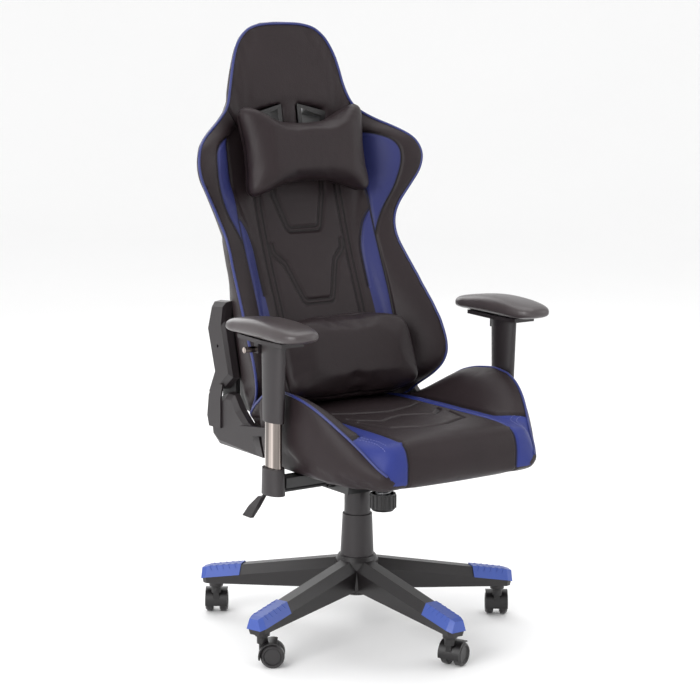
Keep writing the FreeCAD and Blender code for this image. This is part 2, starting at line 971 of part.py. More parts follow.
def make_seat():
    tube = d.frame_tube
    outer = prism(
        "frame",
        "XY_Plane",
        [
            (-d.frame_half, -d.frame_front + 60),
            (-d.frame_half + 60, -d.frame_front),
            (d.frame_half - 60, -d.frame_front),
            (d.frame_half, -d.frame_front + 60),
            (d.frame_half, d.frame_rear),
            (-d.frame_half, d.frame_rear),
        ],
        d.seat_bottom,
        d.seat_bottom + tube,
        holes=[
            [
                (-d.frame_half + tube, -d.frame_front + 68),
                (-d.frame_half + 68, -d.frame_front + tube),
                (d.frame_half - 68, -d.frame_front + tube),
                (d.frame_half - tube, -d.frame_front + 68),
                (d.frame_half - tube, d.frame_rear - tube),
                (-d.frame_half + tube, d.frame_rear - tube),
            ]
        ],
    )
    rails = []
    for centre in (-d.rail_centre, d.rail_centre):
        rails.append(
            block(
                (centre - d.rail_half_width, centre + d.rail_half_width),
                (-d.frame_front, d.frame_rear),
                (d.plate_level + d.plate_thickness, d.seat_bottom),
            )
        )
    holes = [
        rod(d.bolt_radius, 20, x, y, d.plate_level)
        for x in (-d.rail_centre, d.rail_centre)
        for y in (-d.plate_front + 15, d.plate_rear - 15)
    ]
    sub_part(cut(fuse(outer, *rails), *holes), "seat_frame")

    strap_level = d.seat_bottom + tube
    straps = []
    strap_count = 5
    for i in range(strap_count):
        front = -d.frame_front + 50 + i * 66
        straps.append(
            block(
                (-d.frame_half + 4, d.frame_half - 4),
                (front, front + d.strap_width),
                (strap_level, strap_level + d.strap_thickness),
            )
        )
    sub_part(group(*straps), "seat_webbing")

    bolts = []
    bolt_places = [
        (x, y, d.plate_level, d.seat_bottom - d.plate_level)
        for x in (-d.rail_centre, d.rail_centre)
        for y in (-d.plate_front + 15, d.plate_rear - 15)
    ]
    for x, y, level, length in bolt_places:
        bolt = turned(
            "bolt",
            [
                (0, -d.bolt_head_height),
                (d.bolt_head_radius, -d.bolt_head_height),
                (d.bolt_head_radius, 0),
                (d.bolt_radius, 0),
                (d.bolt_radius, length),
                (0, length),
            ],
        )
        bolts.append(place(bolt, x, y, level))
    sub_part(group(*bolts), "seat_bolts")

    recess = block(
        (-d.frame_half - 0.2, d.frame_half + 0.2),
        (-d.frame_front - 0.2, d.frame_rear + 0.2),
        (d.seat_bottom - 10, strap_level + d.strap_thickness),
    )
    level = d.seat_level
    core = prism(
        "core",
        "YZ_Plane",
        [
            (-d.seat_front + 10, d.seat_bottom),
            (-d.seat_front, d.seat_bottom + 26),
            (-d.seat_front + 3, level - 34),
            (-d.seat_front + 20, level - 10),
            (-d.seat_front + 50, level),
            (-100, level + 2),
            (d.seat_rear - 20, level - 3),
            (d.seat_rear, level - 12),
            (d.seat_rear, d.seat_bottom),
        ],
        -d.seat_core_half,
        d.seat_core_half,
    )
    sub_part(cut(core, recess), "seat_cushion")

    inner, outer_x = d.seat_core_half, d.bolster_half
    crest = level + d.bolster_rise
    plan = prism(
        "bolster_plan",
        "XY_Plane",
        [
            (inner, -d.seat_front),
            (outer_x - 81, -d.seat_front),
            (outer_x - 37, -283),
            (outer_x - 9, -201),
            (outer_x, -108),
            (outer_x - 10, 22),
            (outer_x - 32, 46),
            (d.frame_half - 2, 60),
            (d.frame_half - 2, d.seat_rear),
            (inner, d.seat_rear),
        ],
        d.seat_bottom,
        crest + 10,
    )
    side = prism(
        "bolster_side",
        "YZ_Plane",
        [
            (-d.seat_front + 10, d.seat_bottom),
            (-d.seat_front, level - 66),
            (-311, level - 30),
            (-283, level - 4),
            (-247, level + 23),
            (-201, level + 52),
            (-150, crest - 2),
            (-108, crest),
            (-42, crest - 13),
            (14, crest - 40),
            (54, level + 7),
            (90, level - 4),
            (d.seat_rear, level - 12),
            (d.seat_rear, d.seat_bottom),
        ],
        inner - 5,
        outer_x + 10,
    )
    slope = prism(
        "bolster_slope",
        "XZ_Plane",
        [
            (inner - 1, level),
            (outer_x - 30, crest + 6),
            (outer_x - 30, crest + 60),
            (inner - 1, crest + 60),
        ],
        -d.seat_front - 10,
        d.seat_rear + 10,
    )
    cover_room = block(
        (d.frame_half + 12, outer_x + 1),
        (-12, d.seat_rear + 1),
        (d.seat_bottom - 1, d.recline_pivot_z + 22),
    )
    plate_room = block(
        (d.frame_half - 0.2, outer_x + 1),
        (d.recline_lever_y - 12, d.seat_rear + 1),
        (d.seat_bottom - 1, d.recline_lever_z + 20),
    )
    bolster = cut(common(plan, side), slope, recess, cover_room, plate_room)
    pair("seat_bolster", bolster)


# ---------------------------------------------------------------- recliner and its covers


def side_levels():
    """The places along X where the recliner's layers meet, from the seat frame outwards."""
    plate = d.frame_half
    gear = plate + d.recliner_plate_thickness
    arm = gear + d.recliner_gear_thickness + d.side_gap
    cover = arm + d.recliner_arm_thickness + d.side_gap
    return plate, gear, arm, cover


def disc(centre_y, centre_z, radius, start, end):
    return rod_x(radius, start, end, centre_y, centre_z)


def inset(points, centre, amount):
    """Corners moved towards a centre by about the given amount."""
    moved = []
    for y, z in points:
        dy, dz = size_of(y) - centre[0], size_of(z) - centre[1]
        length = math.hypot(dy.value, dz.value)
        share = size_of(amount) / length
        moved.append((size_of(y) - dy * share, size_of(z) - dz * share))
    return moved


def make_recliner():
    y, z = d.recline_pivot_y, d.recline_pivot_z
    plate, gear, arm, cover = side_levels()
    seat_plate = prism(
        "seat_plate",
        "YZ_Plane",
        [
            (d.recline_lever_y - 10, d.seat_bottom + 1),
            (y + 24, d.seat_bottom + 1),
            (y + 34, z + 6),
            (y + 10, z + 34),
            (y - 24, z + 30),
            (y - 66, z + 10),
            (d.recline_lever_y + 16, d.recline_lever_z + 14),
            (d.recline_lever_y - 10, d.recline_lever_z + 10),
        ],
        plate,
        gear,
    )
    gear_disc = disc(y, z, d.recliner_gear_radius, gear, arm - d.side_gap)
    pin = disc(y, z, d.pin_radius, gear, cover)
    both("recliner_plates", fuse(seat_plate, gear_disc, pin))

    arm_strip = prism(
        "arm_strip",
        "YZ_Plane",
        [
            (y - 6, z - 26),
            (y + 14, z - 24),
            (y + 28, z),
            (y + 26, z + 90),
            (y + 40, z + 236),
            (y + 2, z + 254),
            (y - 22, z + 120),
            (y - 28, z + 4),
        ],
        arm,
        cover - d.side_gap,
    )
    channel = prism(
        "channel",
        "YZ_Plane",
        [
            (y - 23, z + 60),
            (y + 27, z + 60),
            (y + 26, z + 90),
            (y + 40, z + 236),
            (y + 2, z + 254),
            (y - 22, z + 120),
        ],
        arm - d.recliner_channel,
        arm,
    )
    arm_hole = disc(y, z, d.pin_radius + d.running_gap, arm - 10, cover + 1)
    pair("recliner_arm", cut(fuse(arm_strip, channel), arm_hole))

    lower_outline = [
        (y + 20, z - 38),
        (y + 46, z - 20),
        (y + 53, z + 20),
        (y + 30, z + 58),
        (y - 14, z + 77),
        (y - 40, z + 76),
        (y - 62, z + 50),
        (y - 92, z + 26),
        (y - 125, z + 14),
        (y - 146, z - 38),
    ]
    centre = (y - 10, z + 4)
    outer_x = cover + d.lower_cover_depth
    shell = lofted(
        "lower_cover",
        "YZ_Plane",
        [
            (cover, lower_outline),
            (outer_x - 7, inset(lower_outline, centre, 2)),
            (outer_x, inset(lower_outline, centre, 14)),
        ],
    )
    hollow = lofted(
        "lower_cover_hollow",
        "YZ_Plane",
        [
            (cover - 1, inset(lower_outline, centre, d.cover_wall)),
            (outer_x - 7 - d.cover_wall, inset(lower_outline, centre, 2 + d.cover_wall)),
            (outer_x - d.cover_wall, inset(lower_outline, centre, 14 + d.cover_wall)),
        ],
    )
    pair("lower_cover", cut(shell, hollow))

    upper_outline = [
        (y - 4, z + 84),
        (y + 47, z + 60),
        (y + 22, z + 105),
        (y + 55, z + 212),
        (y + 34, z + 262),
        (y - 12, z + 266),
        (y - 6, z + 226),
        (y - 38, z + 110),
    ]
    centre_line = (y + 12, z + 165)
    upper_x = outer_x + d.upper_cover_step
    upper_shell = lofted(
        "upper_cover",
        "YZ_Plane",
        [
            (cover, upper_outline),
            (upper_x - 8, inset(upper_outline, centre_line, 2)),
            (upper_x, inset(upper_outline, centre_line, 12)),
        ],
    )
    upper_hollow = lofted(
        "upper_cover_hollow",
        "YZ_Plane",
        [
            (cover - 1, inset(upper_outline, centre_line, d.cover_wall)),
            (upper_x - 8 - d.cover_wall, inset(upper_outline, centre_line, 2 + d.cover_wall)),
            (upper_x - d.cover_wall, inset(upper_outline, centre_line, 12 + d.cover_wall)),
        ],
    )
    lower_room = block(
        (cover - 2, outer_x + d.side_gap),
        (y - 80, y + 80),
        (z - 40, z + 81),
    )
    tongue = prism(
        "tongue",
        "YZ_Plane",
        [
            (y, z),
            (y + 44, z - 2),
            (y + 51, z + 20),
            (y + 45, z + 64),
            (y + 24, z + 96),
            (y - 8, z + 92),
            (y, z + 62),
        ],
        outer_x + d.side_gap,
        upper_x,
    )
    screw_hole = disc(y + 10, z + 171, d.cover_screw_radius, upper_x - 6, upper_x + 1)
    pair("upper_cover", cut(fuse(cut(upper_shell, upper_hollow, lower_room), tongue), screw_hole))

    lever_y, lever_z = d.recline_lever_y, d.recline_lever_z
    lever_tip = lever_y - d.recline_lever_length
    handle = prism(
        "handle",
        "YZ_Plane",
        [
            (lever_y + 8, lever_z - 9),
            (lever_y + 8, lever_z + 9),
            (lever_y - 30, lever_z + 14),
            (lever_tip + 5, lever_z + 22),
            (lever_tip, lever_z + 14),
            (lever_tip + 5, lever_z + 5),
            (lever_y - 30, lever_z - 5),
        ],
        d.recline_lever_x,
        d.recline_lever_x + d.recline_lever_thickness,
    )
    shaft_bore = disc(lever_y, lever_z, d.recline_shaft_radius, gear + 0.3, d.recline_lever_x)
    lever = fuse(handle, shaft_bore)
    sub_part(mirrored(lever), "recline_lever")


# ---------------------------------------------------------------- armrests


def make_armrests():
    x, y = d.arm_x, d.arm_y
    bar = block(
        (d.arm_bar_inner_x, x - d.collar_short),
        (y - d.arm_bar_half_width, y + d.arm_bar_half_width),
        (d.arm_bar_top - d.arm_bar_depth, d.arm_bar_top),
    )
    stub = block(
        (x - d.collar_short, x - d.post_short - 1),
        (y - d.arm_bar_half_width / 2, y + d.arm_bar_half_width / 2),
        (d.arm_bar_top - d.arm_bar_depth + 2, d.arm_bar_top - 2),
    )
    both("arm_brackets", fuse(bar, stub))

    post = ellipse_prism(d.post_long, d.post_short, d.collar_bottom + 6, d.post_top, x, y)
    post_bore = ellipse_prism(
        d.post_long - 2,
        d.post_short - 2,
        d.collar_bottom + 5,
        d.post_top + 1,
        x,
        y,
    )
    pair("arm_post", cut(post, post_bore))

    collar = ellipse_prism(
        d.collar_long,
        d.collar_short,
        d.collar_bottom,
        d.collar_top,
        x,
        y,
        d.collar_long - 3,
    )
    collar_bore = ellipse_prism(d.post_long, d.post_short, d.collar_bottom + 6, d.collar_top + 1, x, y)
    stub_room = block(
        (x - d.collar_short - 5, x - d.post_short - 1),
        (y - d.arm_bar_half_width - 1, y + d.arm_bar_half_width + 1),
        (d.arm_bar_top - d.arm_bar_depth, d.arm_bar_top + 0.2),
    )
    both("arm_collars", cut(collar, collar_bore, stub_room))

    sheath = ellipse_prism(
        d.sheath_foot_long, d.sheath_short, d.sheath_bottom, d.sheath_top, x, y, d.sheath_head_long
    )
    sheath_bore = ellipse_prism(
        d.post_long + d.running_gap,
        d.post_short + d.running_gap,
        d.sheath_bottom - 1,
        d.sheath_top + 1,
        x,
        y,
    )
    flange = prism(
        "flange",
        "XY_Plane",
        [
            (x - 26, y - 66),
            (x + 26, y - 66),
            (x + 30, y),
            (x + 24, y + 92),
            (x - 24, y + 92),
            (x - 30, y),
        ],
        d.sheath_top,
        d.sheath_top + d.pad_plate_thickness,
    )
    button_place = (y + 40, d.sheath_top - 16)
    bracket = block(
        (x + 2, x + 14),
        (button_place[0] - 7, button_place[0] + 8),
        (button_place[1] - 8, d.sheath_top),
    )
    button_bore = disc(button_place[0], button_place[1], d.arm_button_radius - 1, x, x + 16)
    sheath_body = cut(fuse(cut(sheath, sheath_bore), flange, bracket), button_bore)
    pair("arm_sheath", sheath_body)

    stem = disc(button_place[0], button_place[1], d.arm_button_radius - 1 - d.running_gap, x + 2, x + 20)
    cap = disc(
        button_place[0],
        button_place[1],
        d.arm_button_radius + 1,
        x + 14 + d.arm_button_travel + 0.3,
        x + 14 + d.arm_button_travel + d.arm_button_length,
    )
    pair("arm_button", fuse(stem, cap))

    pad = prism(
        "pad",
        "XY_Plane",
        [
            (x - d.pad_front_half + 18, -d.pad_front),
            (x + d.pad_front_half - 18, -d.pad_front),
            (x + d.pad_front_half, -d.pad_front + 34),
            (x + d.pad_rear_half, d.pad_rear - 18),
            (x + d.pad_rear_half - 14, d.pad_rear),
            (x - d.pad_rear_half + 14, d.pad_rear),
            (x - d.pad_rear_half, d.pad_rear - 18),
            (x - d.pad_front_half, -d.pad_front + 34),
        ],
        d.pad_bottom,
        d.pad_bottom + d.pad_thickness,
    )
    pair("arm_pad", pad)


# ---------------------------------------------------------------- backrest

# The front face of the centre panel: (y, z) from the seat up to the top of the headrest.
BACK_FRONT = [
    (71, 495),
    (135, 664),
    (181, 774),
    (222, 895),
    (247, 1000),
    (262, 1084),
    (288, 1210),
    (291, 1255),
]
# The rear face, from the top down.
BACK_REAR = [
    (318, 1255),
    (345, 1210),
    (334, 1084),
    (322, 1000),
    (302, 895),
    (264, 774),
    (218, 664),
    (156, 495),
]


def face_y(face, height):
    """How far back a face of the backrest lies at a height."""
    ordered = sorted(face, key=lambda point: point[1])
    for (y0, z0), (y1, z1) in zip(ordered, ordered[1:]):
        if z0 <= height <= z1:
            return y0 + (y1 - y0) * (height - z0) / (z1 - z0)
    raise ValueError(height)


def back_height(z):
    """A height on the backrest, scaled between its bottom and its top."""
    share = (z - BACK_FRONT[0][1]) / (BACK_FRONT[-1][1] - BACK_FRONT[0][1])
    return blend(d.back_bottom, d.back_top, share)


# Below this height the wings keep inside the recliner's arms and covers.
COVER_TOP = 700
# The wings' sections: height, outer x, front y at the outer edge, and outer x at the rear.
WING_SECTIONS = [
    (495, 207, 74, 190),
    (540, 238, 22, 203),
    (580, 249, 14, 203),
    (660, 243, 60, 203),
    (740, 230, 112, 176),
    (808, 217, 160, 170),
    (860, 230, 176, 165),
    (915, 262, 167, 174),
    (972, 287, 160, 187),
    (1012, 270, 179, 184),
    (1040, 228, 205, 170),
    (1062, 196, 234, 158),
]
# Above this height the headrest's outline spreads from the centre panel's edge,
# by this much for each millimetre of height.
NECK_START = 1000
NECK_FLARE = 43 / 62


def wing_outline(z, outer, front, rear_outer):
    """The wing's section: flat beside the centre panel, then swept forward to its outer edge."""
    panel = d.panel_half if z <= NECK_START else d.panel_half + (z - NECK_START) * NECK_FLARE
    centre_front = face_y(BACK_FRONT, z)
    rear = face_y(BACK_REAR, z)
    edge = size_of(outer)
    corner = size_of(rear_outer)
    flank = corner + 2 if z < COVER_TOP else blend(edge, corner, 0.3)
    return [
        (panel, centre_front),
        (blend(panel, edge, 0.45), centre_front + 1),
        (edge - 8, front),
        (edge, front + 10),
        (flank, blend(size_of(front), size_of(rear), 0.45)),
        (corner, rear - 6),
        (corner - 8, rear),
        (panel, rear),
    ]


def frame_tubes(clearance):
    """The backrest's tube frame: two uprights and two cross tubes."""
    radius = d.back_tube_radius + clearance
    reach = side_levels()[2] - d.recliner_channel
    low_y = (face_y(BACK_FRONT, 560) + face_y(BACK_REAR, 560)) / 2 + 12
    high_y = (face_y(BACK_FRONT, 985) + face_y(BACK_REAR, 985)) / 2
    rise = d.upper_cross_height - d.lower_cross_height
    run = size_of(high_y - low_y)
    tubes = [
        rod_x(radius, -reach, reach, low_y, d.lower_cross_height),
        rod_x(
            radius,
            -d.upright_x - d.back_tube_radius,
            d.upright_x + d.back_tube_radius,
            high_y,
            d.upper_cross_height,
        ),
    ]
    for x in (-d.upright_x, d.upright_x):
        tubes.append(
            rod(
                radius,
                hypotenuse(rise, run),
                x,
                low_y,
                d.lower_cross_height,
                (-1, 0, 0),
                slope_angle(run, rise),
            )
        )
    return tubes


def make_backrest():
    sub_part(fuse(*frame_tubes(0)), "back_frame")

    profile = [(y, back_height(z)) for y, z in BACK_FRONT + BACK_REAR]
    slab = prism("slab", "YZ_Plane", profile, -200, 200)
    half_outline = [
        (d.panel_half, 495),
        (d.panel_half, 1000),
        (146, 1062),
        (158, 1084),
        (146, 1118),
        (133, 1174),
        (118, 1210),
        (97, 1238),
        (70, 1255),
    ]
    right_side = [(size_of(x), back_height(z)) for x, z in half_outline]
    left_side = [(-x, z) for x, z in reversed(right_side)]
    front_view = prism("front_view", "XZ_Plane", right_side + left_side, 0, 400)

    hole = [(30, 1076), (80, 1058), (64, 1012), (30, 1006)]
    wall = d.bezel_wall
    frame_outline = [
        (30 - wall, 1076 + wall),
        (80 + wall * 1.2, 1058 + wall),
        (64 + wall, 1012 - wall),
        (30 - wall, 1006 - wall),
    ]
    room = [prism("hole_room", "XZ_Plane", frame_outline, 0, 400)]
    room.append(mirrored(room[0]))
    padding = cut(common(slab, front_view), *frame_tubes(0.2))
    sub_part(cut(padding, *room), "back_cushion")

    front_gap = prism("bezel_front", "XZ_Plane", frame_outline, 246, 246 + d.bezel_depth, holes=[hole])
    keep = [(y - 1.5, back_height(z)) for y, z in BACK_FRONT] + [(y + 3, back_height(z)) for y, z in BACK_REAR]
    bezel = common(front_gap, prism("bezel_keep", "YZ_Plane", keep, -200, 200))
    sub_part(group(bezel, mirrored(bezel)), "harness_bezels")

    wing = lofted(
        "wing",
        "XY_Plane",
        [(back_height(section[0]), wing_outline(*section)) for section in WING_SECTIONS],
    )
    pair("back_wing", cut(wing, *frame_tubes(0.2)))


# ---------------------------------------------------------------- pillows


def pillow(name, height, half_length, half_height, half_thickness, tilt):
    """A pillow resting on the backrest's face: a rounded bar that leans back with it."""
    centre_front = face_y(BACK_FRONT, height.value)
    lean = size_of(tilt)
    reach = half_thickness + d.pillow_gap
    y = centre_front - reach * cosine(lean)
    z = height + reach * sine(lean)
    outline = []
    for share_y, share_z in ((-1, -0.45), (-0.72, -0.82), (0, -1), (0.72, -0.86), (1, -0.55)):
        outline.append((half_thickness * share_y, half_height * share_z))
    outline += [(u, -v) for u, v in reversed(outline)]
    body = prism(name, "YZ_Plane", outline, -half_length, half_length)
    return place(body, 0, y, z, (-1, 0, 0), lean)


def make_pillows():
    sub_part(
        pillow(
            "lumbar", d.lumbar_height, d.lumbar_half_length, d.lumbar_half_height, d.lumbar_half_thickness, 21.5
        ),
        "lumbar_pillow",
    )
    sub_part(
        pillow(
            "neck",
            d.neck_height,
            d.neck_half_length,
            d.neck_half_height,
            d.neck_half_thickness,
            12.5,
        ),
        "neck_pillow",
    )


def build_document():
    make_base()
    make_casters()
    make_column()
    make_mechanism()
    make_lift_lever()
    make_seat()
    make_recliner()
    make_armrests()
    make_backrest()
    make_pillows()


build_document()


# ---------------------------------------------------------------- checks and files


def check_and_write():
    doc.recompute()
    faults = []
    for obj in doc.Objects:
        if "Invalid" in obj.State or "Error" in obj.State:
            faults.append(f"{obj.Name} ({obj.Label}) is in state {obj.State}")
    for label, obj in parts.items():
        if obj.Shape.isNull() or not obj.Shape.isValid() or not obj.Shape.Solids:
            faults.append(f"{label} has no valid solid")
    if faults:
        raise SystemExit("\n".join(faults))
    os.makedirs("parts", exist_ok=True)
    for label, obj in parts.items():
        obj.Shape.exportStep(f"parts/{label}.step")
    print(f"{len(parts)} parts written")


check_and_write()
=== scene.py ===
import json
import math

import bpy
import numpy as np
from mathutils import Matrix, Vector
from mathutils.bvhtree import BVHTree
from mathutils.kdtree import KDTree


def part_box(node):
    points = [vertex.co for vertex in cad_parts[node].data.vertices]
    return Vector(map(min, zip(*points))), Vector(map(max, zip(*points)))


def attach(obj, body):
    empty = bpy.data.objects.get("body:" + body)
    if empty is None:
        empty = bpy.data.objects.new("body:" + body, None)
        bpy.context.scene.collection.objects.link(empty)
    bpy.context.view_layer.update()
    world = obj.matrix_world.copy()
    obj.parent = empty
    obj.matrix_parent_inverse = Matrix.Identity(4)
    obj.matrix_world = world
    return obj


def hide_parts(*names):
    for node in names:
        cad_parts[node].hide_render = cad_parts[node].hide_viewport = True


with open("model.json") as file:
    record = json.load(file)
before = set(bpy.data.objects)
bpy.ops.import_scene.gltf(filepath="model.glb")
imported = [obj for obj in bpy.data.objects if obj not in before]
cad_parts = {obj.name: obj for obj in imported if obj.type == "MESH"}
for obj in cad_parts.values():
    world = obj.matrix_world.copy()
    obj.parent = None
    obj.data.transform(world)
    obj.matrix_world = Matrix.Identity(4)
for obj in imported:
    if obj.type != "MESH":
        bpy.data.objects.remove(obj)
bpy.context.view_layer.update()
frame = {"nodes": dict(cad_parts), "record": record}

bpy.ops.object.select_all(action="DESELECT")

# ---------------------------------------------------------------- camera and studio

CAMERA_TURN = math.radians(-36.0)
CAMERA_DROP = math.radians(9.82)
CAMERA_ROLL = math.radians(0.545)
CAMERA_DISTANCE = 4.367
CAMERA_HEIGHT = 1.35
SENSOR = 36.0
FOCAL_LENGTH = 110.6
CAMERA_SHIFT = -0.0127


def make_camera():
    """The camera stands low and to the sitter's right, and looks slightly down."""
    turn, drop, roll = CAMERA_TURN, CAMERA_DROP, CAMERA_ROLL
    across = Vector((math.cos(turn), math.sin(turn), 0))
    back = Vector((math.sin(turn) * math.cos(drop), -math.cos(turn) * math.cos(drop), math.sin(drop)))
    up = back.cross(across)
    right = across * math.cos(roll) + up * math.sin(roll)
    top = up * math.cos(roll) - across * math.sin(roll)
    camera = bpy.data.cameras.new("camera")
    camera.sensor_width = SENSOR
    camera.lens = FOCAL_LENGTH
    camera.shift_x = CAMERA_SHIFT
    holder = bpy.data.objects.new("camera", camera)
    bpy.context.scene.collection.objects.link(holder)
    turned = Matrix((right, top, back)).transposed().to_4x4()
    place = Vector((math.sin(turn) * CAMERA_DISTANCE, -math.cos(turn) * CAMERA_DISTANCE, CAMERA_HEIGHT))
    holder.matrix_world = Matrix.Translation(place) @ turned
    bpy.context.scene.camera = holder


def softbox(name, place, aim, width, height, power):
    lamp = bpy.data.lights.new(name, "AREA")
    lamp.shape = "RECTANGLE"
    lamp.size, lamp.size_y = width, height
    lamp.energy = power
    holder = bpy.data.objects.new(name, lamp)
    bpy.context.scene.collection.objects.link(holder)
    holder.location = place
    holder.rotation_euler = (Vector(place) - Vector(aim)).to_track_quat("Z", "Y").to_euler()


# ---------------------------------------------------------------- materials


class Reading:
    """One output of a shader node. Sums and products on it add Math nodes."""

    def __init__(self, finish, output):
        self.finish, self.output = finish, output

    def math(self, operation, *values):
        return self.finish.node("ShaderNodeMath", {"operation": operation}, dict(enumerate(values)))

    def __add__(self, other):
        return self.math("ADD", self, other)

    __radd__ = __add__

    def __sub__(self, other):
        return self.math("SUBTRACT", self, other)

    def __rsub__(self, other):
        return self.math("SUBTRACT", other, self)

    def __mul__(self, other):
        return self.math("MULTIPLY", self, other)

    __rmul__ = __mul__

    def between(self, low, high):
        """0 below low, 1 above high, and an even rise from one to the other."""
        inputs = {"Value": self, "From Min": low, "From Max": high}
        return self.finish.node("ShaderNodeMapRange", {"clamp": True}, inputs)


class Finish:
    """A material for one kind of surface, made of shader nodes."""

    def __init__(self, name, **constants):
        self.material = bpy.data.materials.new(name)
        self.material.use_nodes = True
        self.tree = self.material.node_tree
        self.surface = self.tree.nodes["Principled BSDF"]
        self.place = self.node("ShaderNodeTexCoord", {}, {}, "Object")
        for socket, value in constants.items():
            self.feed(socket.replace("_", " "), value)

    def node(self, kind, settings, inputs, output=0):
        made = self.tree.nodes.new(kind)
        for setting, value in settings.items():
            setattr(made, setting, value)
        for key, value in inputs.items():
            self.join(made.inputs[key], value)
        return Reading(self, made.outputs[output])

    def join(self, socket, value):
        if isinstance(value, Reading):
            self.tree.links.new(value.output, socket)
        else:
            socket.default_value = value

    def feed(self, socket, value):
        self.join(self.surface.inputs[socket], value)

    def noise(self, scale, detail=3.0, roughness=0.5):
        inputs = {"Vector": self.place, "Scale": scale, "Detail": detail, "Roughness": roughness}
        return self.node("ShaderNodeTexNoise", {}, inputs, "Fac")

    def cells(self, scale):
        return self.node("ShaderNodeTexVoronoi", {}, {"Vector": self.place, "Scale": scale}, "Distance")

    def attribute(self, name):
        return self.node("ShaderNodeAttribute", {"attribute_name": name}, {}, "Fac")

    def blend(self, share, first, second):
        """A colour between two others."""
        settings = {"data_type": "RGBA"}
        return self.node("ShaderNodeMix", settings, {0: share, 6: first, 7: second}, 2)

    def relief(self, height, depth, strength=1.0):
        inputs = {"Height": height, "Distance": depth, "Strength": strength}
        self.feed("Normal", self.node("ShaderNodeBump", {}, inputs, "Normal"))


def colour(red, green, blue):
    """A colour given as it looks on a screen, from 0 to 255, as the light it sends back."""
    screen = (red, green, blue)
    return tuple(((c / 255 + 0.055) / 1.055) ** 2.4 if c > 10 else c / 3294 for c in screen) + (1.0,)


def shade(tone, share):
    return tuple(c * share for c in tone[:3]) + (1.0,)


BLACK_HIDE = colour(37, 29, 31)
BLUE_HIDE = colour(44, 48, 96)
SEAT_BLUE = colour(40, 50, 116)


def leather(name, blue):
    """Coated leather with a fine pebble grain.

    The panel attribute says where it is blue, in metres from the edge, and seam how far the nearest seam is.
    Within a few millimetres of a seam the colour darkens: painted shade in the sewn groove.
    """
    finish = Finish(name)
    tone = finish.noise(9.0, 4.0)
    black = finish.blend(tone, shade(BLACK_HIDE, 0.82), shade(BLACK_HIDE, 1.18))
    dyed = finish.blend(tone, shade(blue, 0.88), shade(blue, 1.12))
    panel = finish.attribute("panel").between(-0.0003, 0.0003)
    # Painted shade along the seams: within a few millimetres of a seam the leather darkens to near black.
    seam = finish.attribute("seam").between(0.0008, 0.0035)
    skin = finish.blend(panel, black, dyed)
    finish.feed("Base Color", finish.blend(seam, shade(BLACK_HIDE, 0.35), skin))
    grain = finish.cells(620.0)
    creases = finish.noise(46.0, 6.0, 0.62)
    finish.feed("Specular IOR Level", 0.22)
    finish.feed("Roughness", 0.36 + 0.10 * creases + 0.06 * grain)
    finish.relief(0.35 * grain + creases, 0.0011, 0.42)
    return finish.material


def moulding(name, tone, roughness, grain_scale=900.0, depth=0.0003):
    """Moulded plastic with a fine spark-eroded texture and a little handling wear."""
    finish = Finish(name)
    cloud = finish.noise(14.0, 3.0)
    finish.feed("Base Color", finish.blend(cloud, shade(tone, 0.88), shade(tone, 1.12)))
    fine = finish.noise(grain_scale, 2.0)
    finish.feed("Roughness", roughness - 0.05 + 0.10 * cloud)
    finish.relief(fine + 0.4 * cloud, depth, 0.35)
    return finish.material


def metal(name, tone, roughness, brushed=0.0, painted_reflections=False):
    """Bare or plated metal. It can have brushing lines around its axis, or, for chrome, upright light and
    dark stripes in its colour that are painted reflections.
    """
    finish = Finish(name, Metallic=1.0)
    smear = finish.noise(22.0, 3.0)
    if painted_reflections:
        # Painted reflections: upright light and dark stripes in the base colour stand in for the studio
        # mirrored in the chrome.
        inputs = {"Vector": stretched(finish, (75.0, 75.0, 0.5)), "Scale": 1.0, "Detail": 1.0}
        painted_reflection_bands = finish.node("ShaderNodeTexNoise", {}, inputs, "Fac").between(0.40, 0.60)
        finish.feed("Base Color", finish.blend(painted_reflection_bands, shade(tone, 0.34), shade(tone, 1.75)))
    else:
        finish.feed("Base Color", finish.blend(smear, shade(tone, 0.92), shade(tone, 1.04)))
    finish.feed("Roughness", roughness + 0.08 * smear)
    if brushed:
        inputs = {"Vector": stretched(finish, (60.0, 60.0, 2400.0)), "Scale": 1.0, "Detail": 2.0}
        lines = finish.node("ShaderNodeTexNoise", {}, inputs, "Fac")
        finish.relief(lines, 0.0002, brushed)
    return finish.material


def stretched(finish, scale):
    return finish.node("ShaderNodeMapping", {}, {"Vector": finish.place, "Scale": scale})


def powder_coat(name, tone):
    """Powder-coated steel with its faint orange-peel surface."""
    finish = Finish(name, Coat_Roughness=0.3)
    finish.feed("Base Color", finish.blend(finish.noise(30.0), shade(tone, 0.9), shade(tone, 1.15)))
    finish.feed("Coat Weight", 0.15)
    finish.feed("Roughness", 0.36 + 0.12 * finish.noise(120.0))
    finish.relief(finish.noise(420.0, 2.0), 0.0003, 0.3)
    return finish.material


def web_cloth(name, tone):
    """Woven elastic webbing."""
    finish = Finish(name)
    inputs = {"Vector": finish.place, "Scale": 160.0}
    across = finish.node("ShaderNodeTexWave", {"bands_direction": "X"}, inputs, "Fac")
    along = finish.node("ShaderNodeTexWave", {"bands_direction": "Y"}, inputs, "Fac")
    weave = across * along
    finish.feed("Base Color", finish.blend(weave, shade(tone, 0.6), shade(tone, 1.3)))
    finish.feed("Roughness", 0.75 + 0.1 * weave)
    finish.relief(weave, 0.0005, 0.6)
    return finish.material


# ---------------------------------------------------------------- shapes


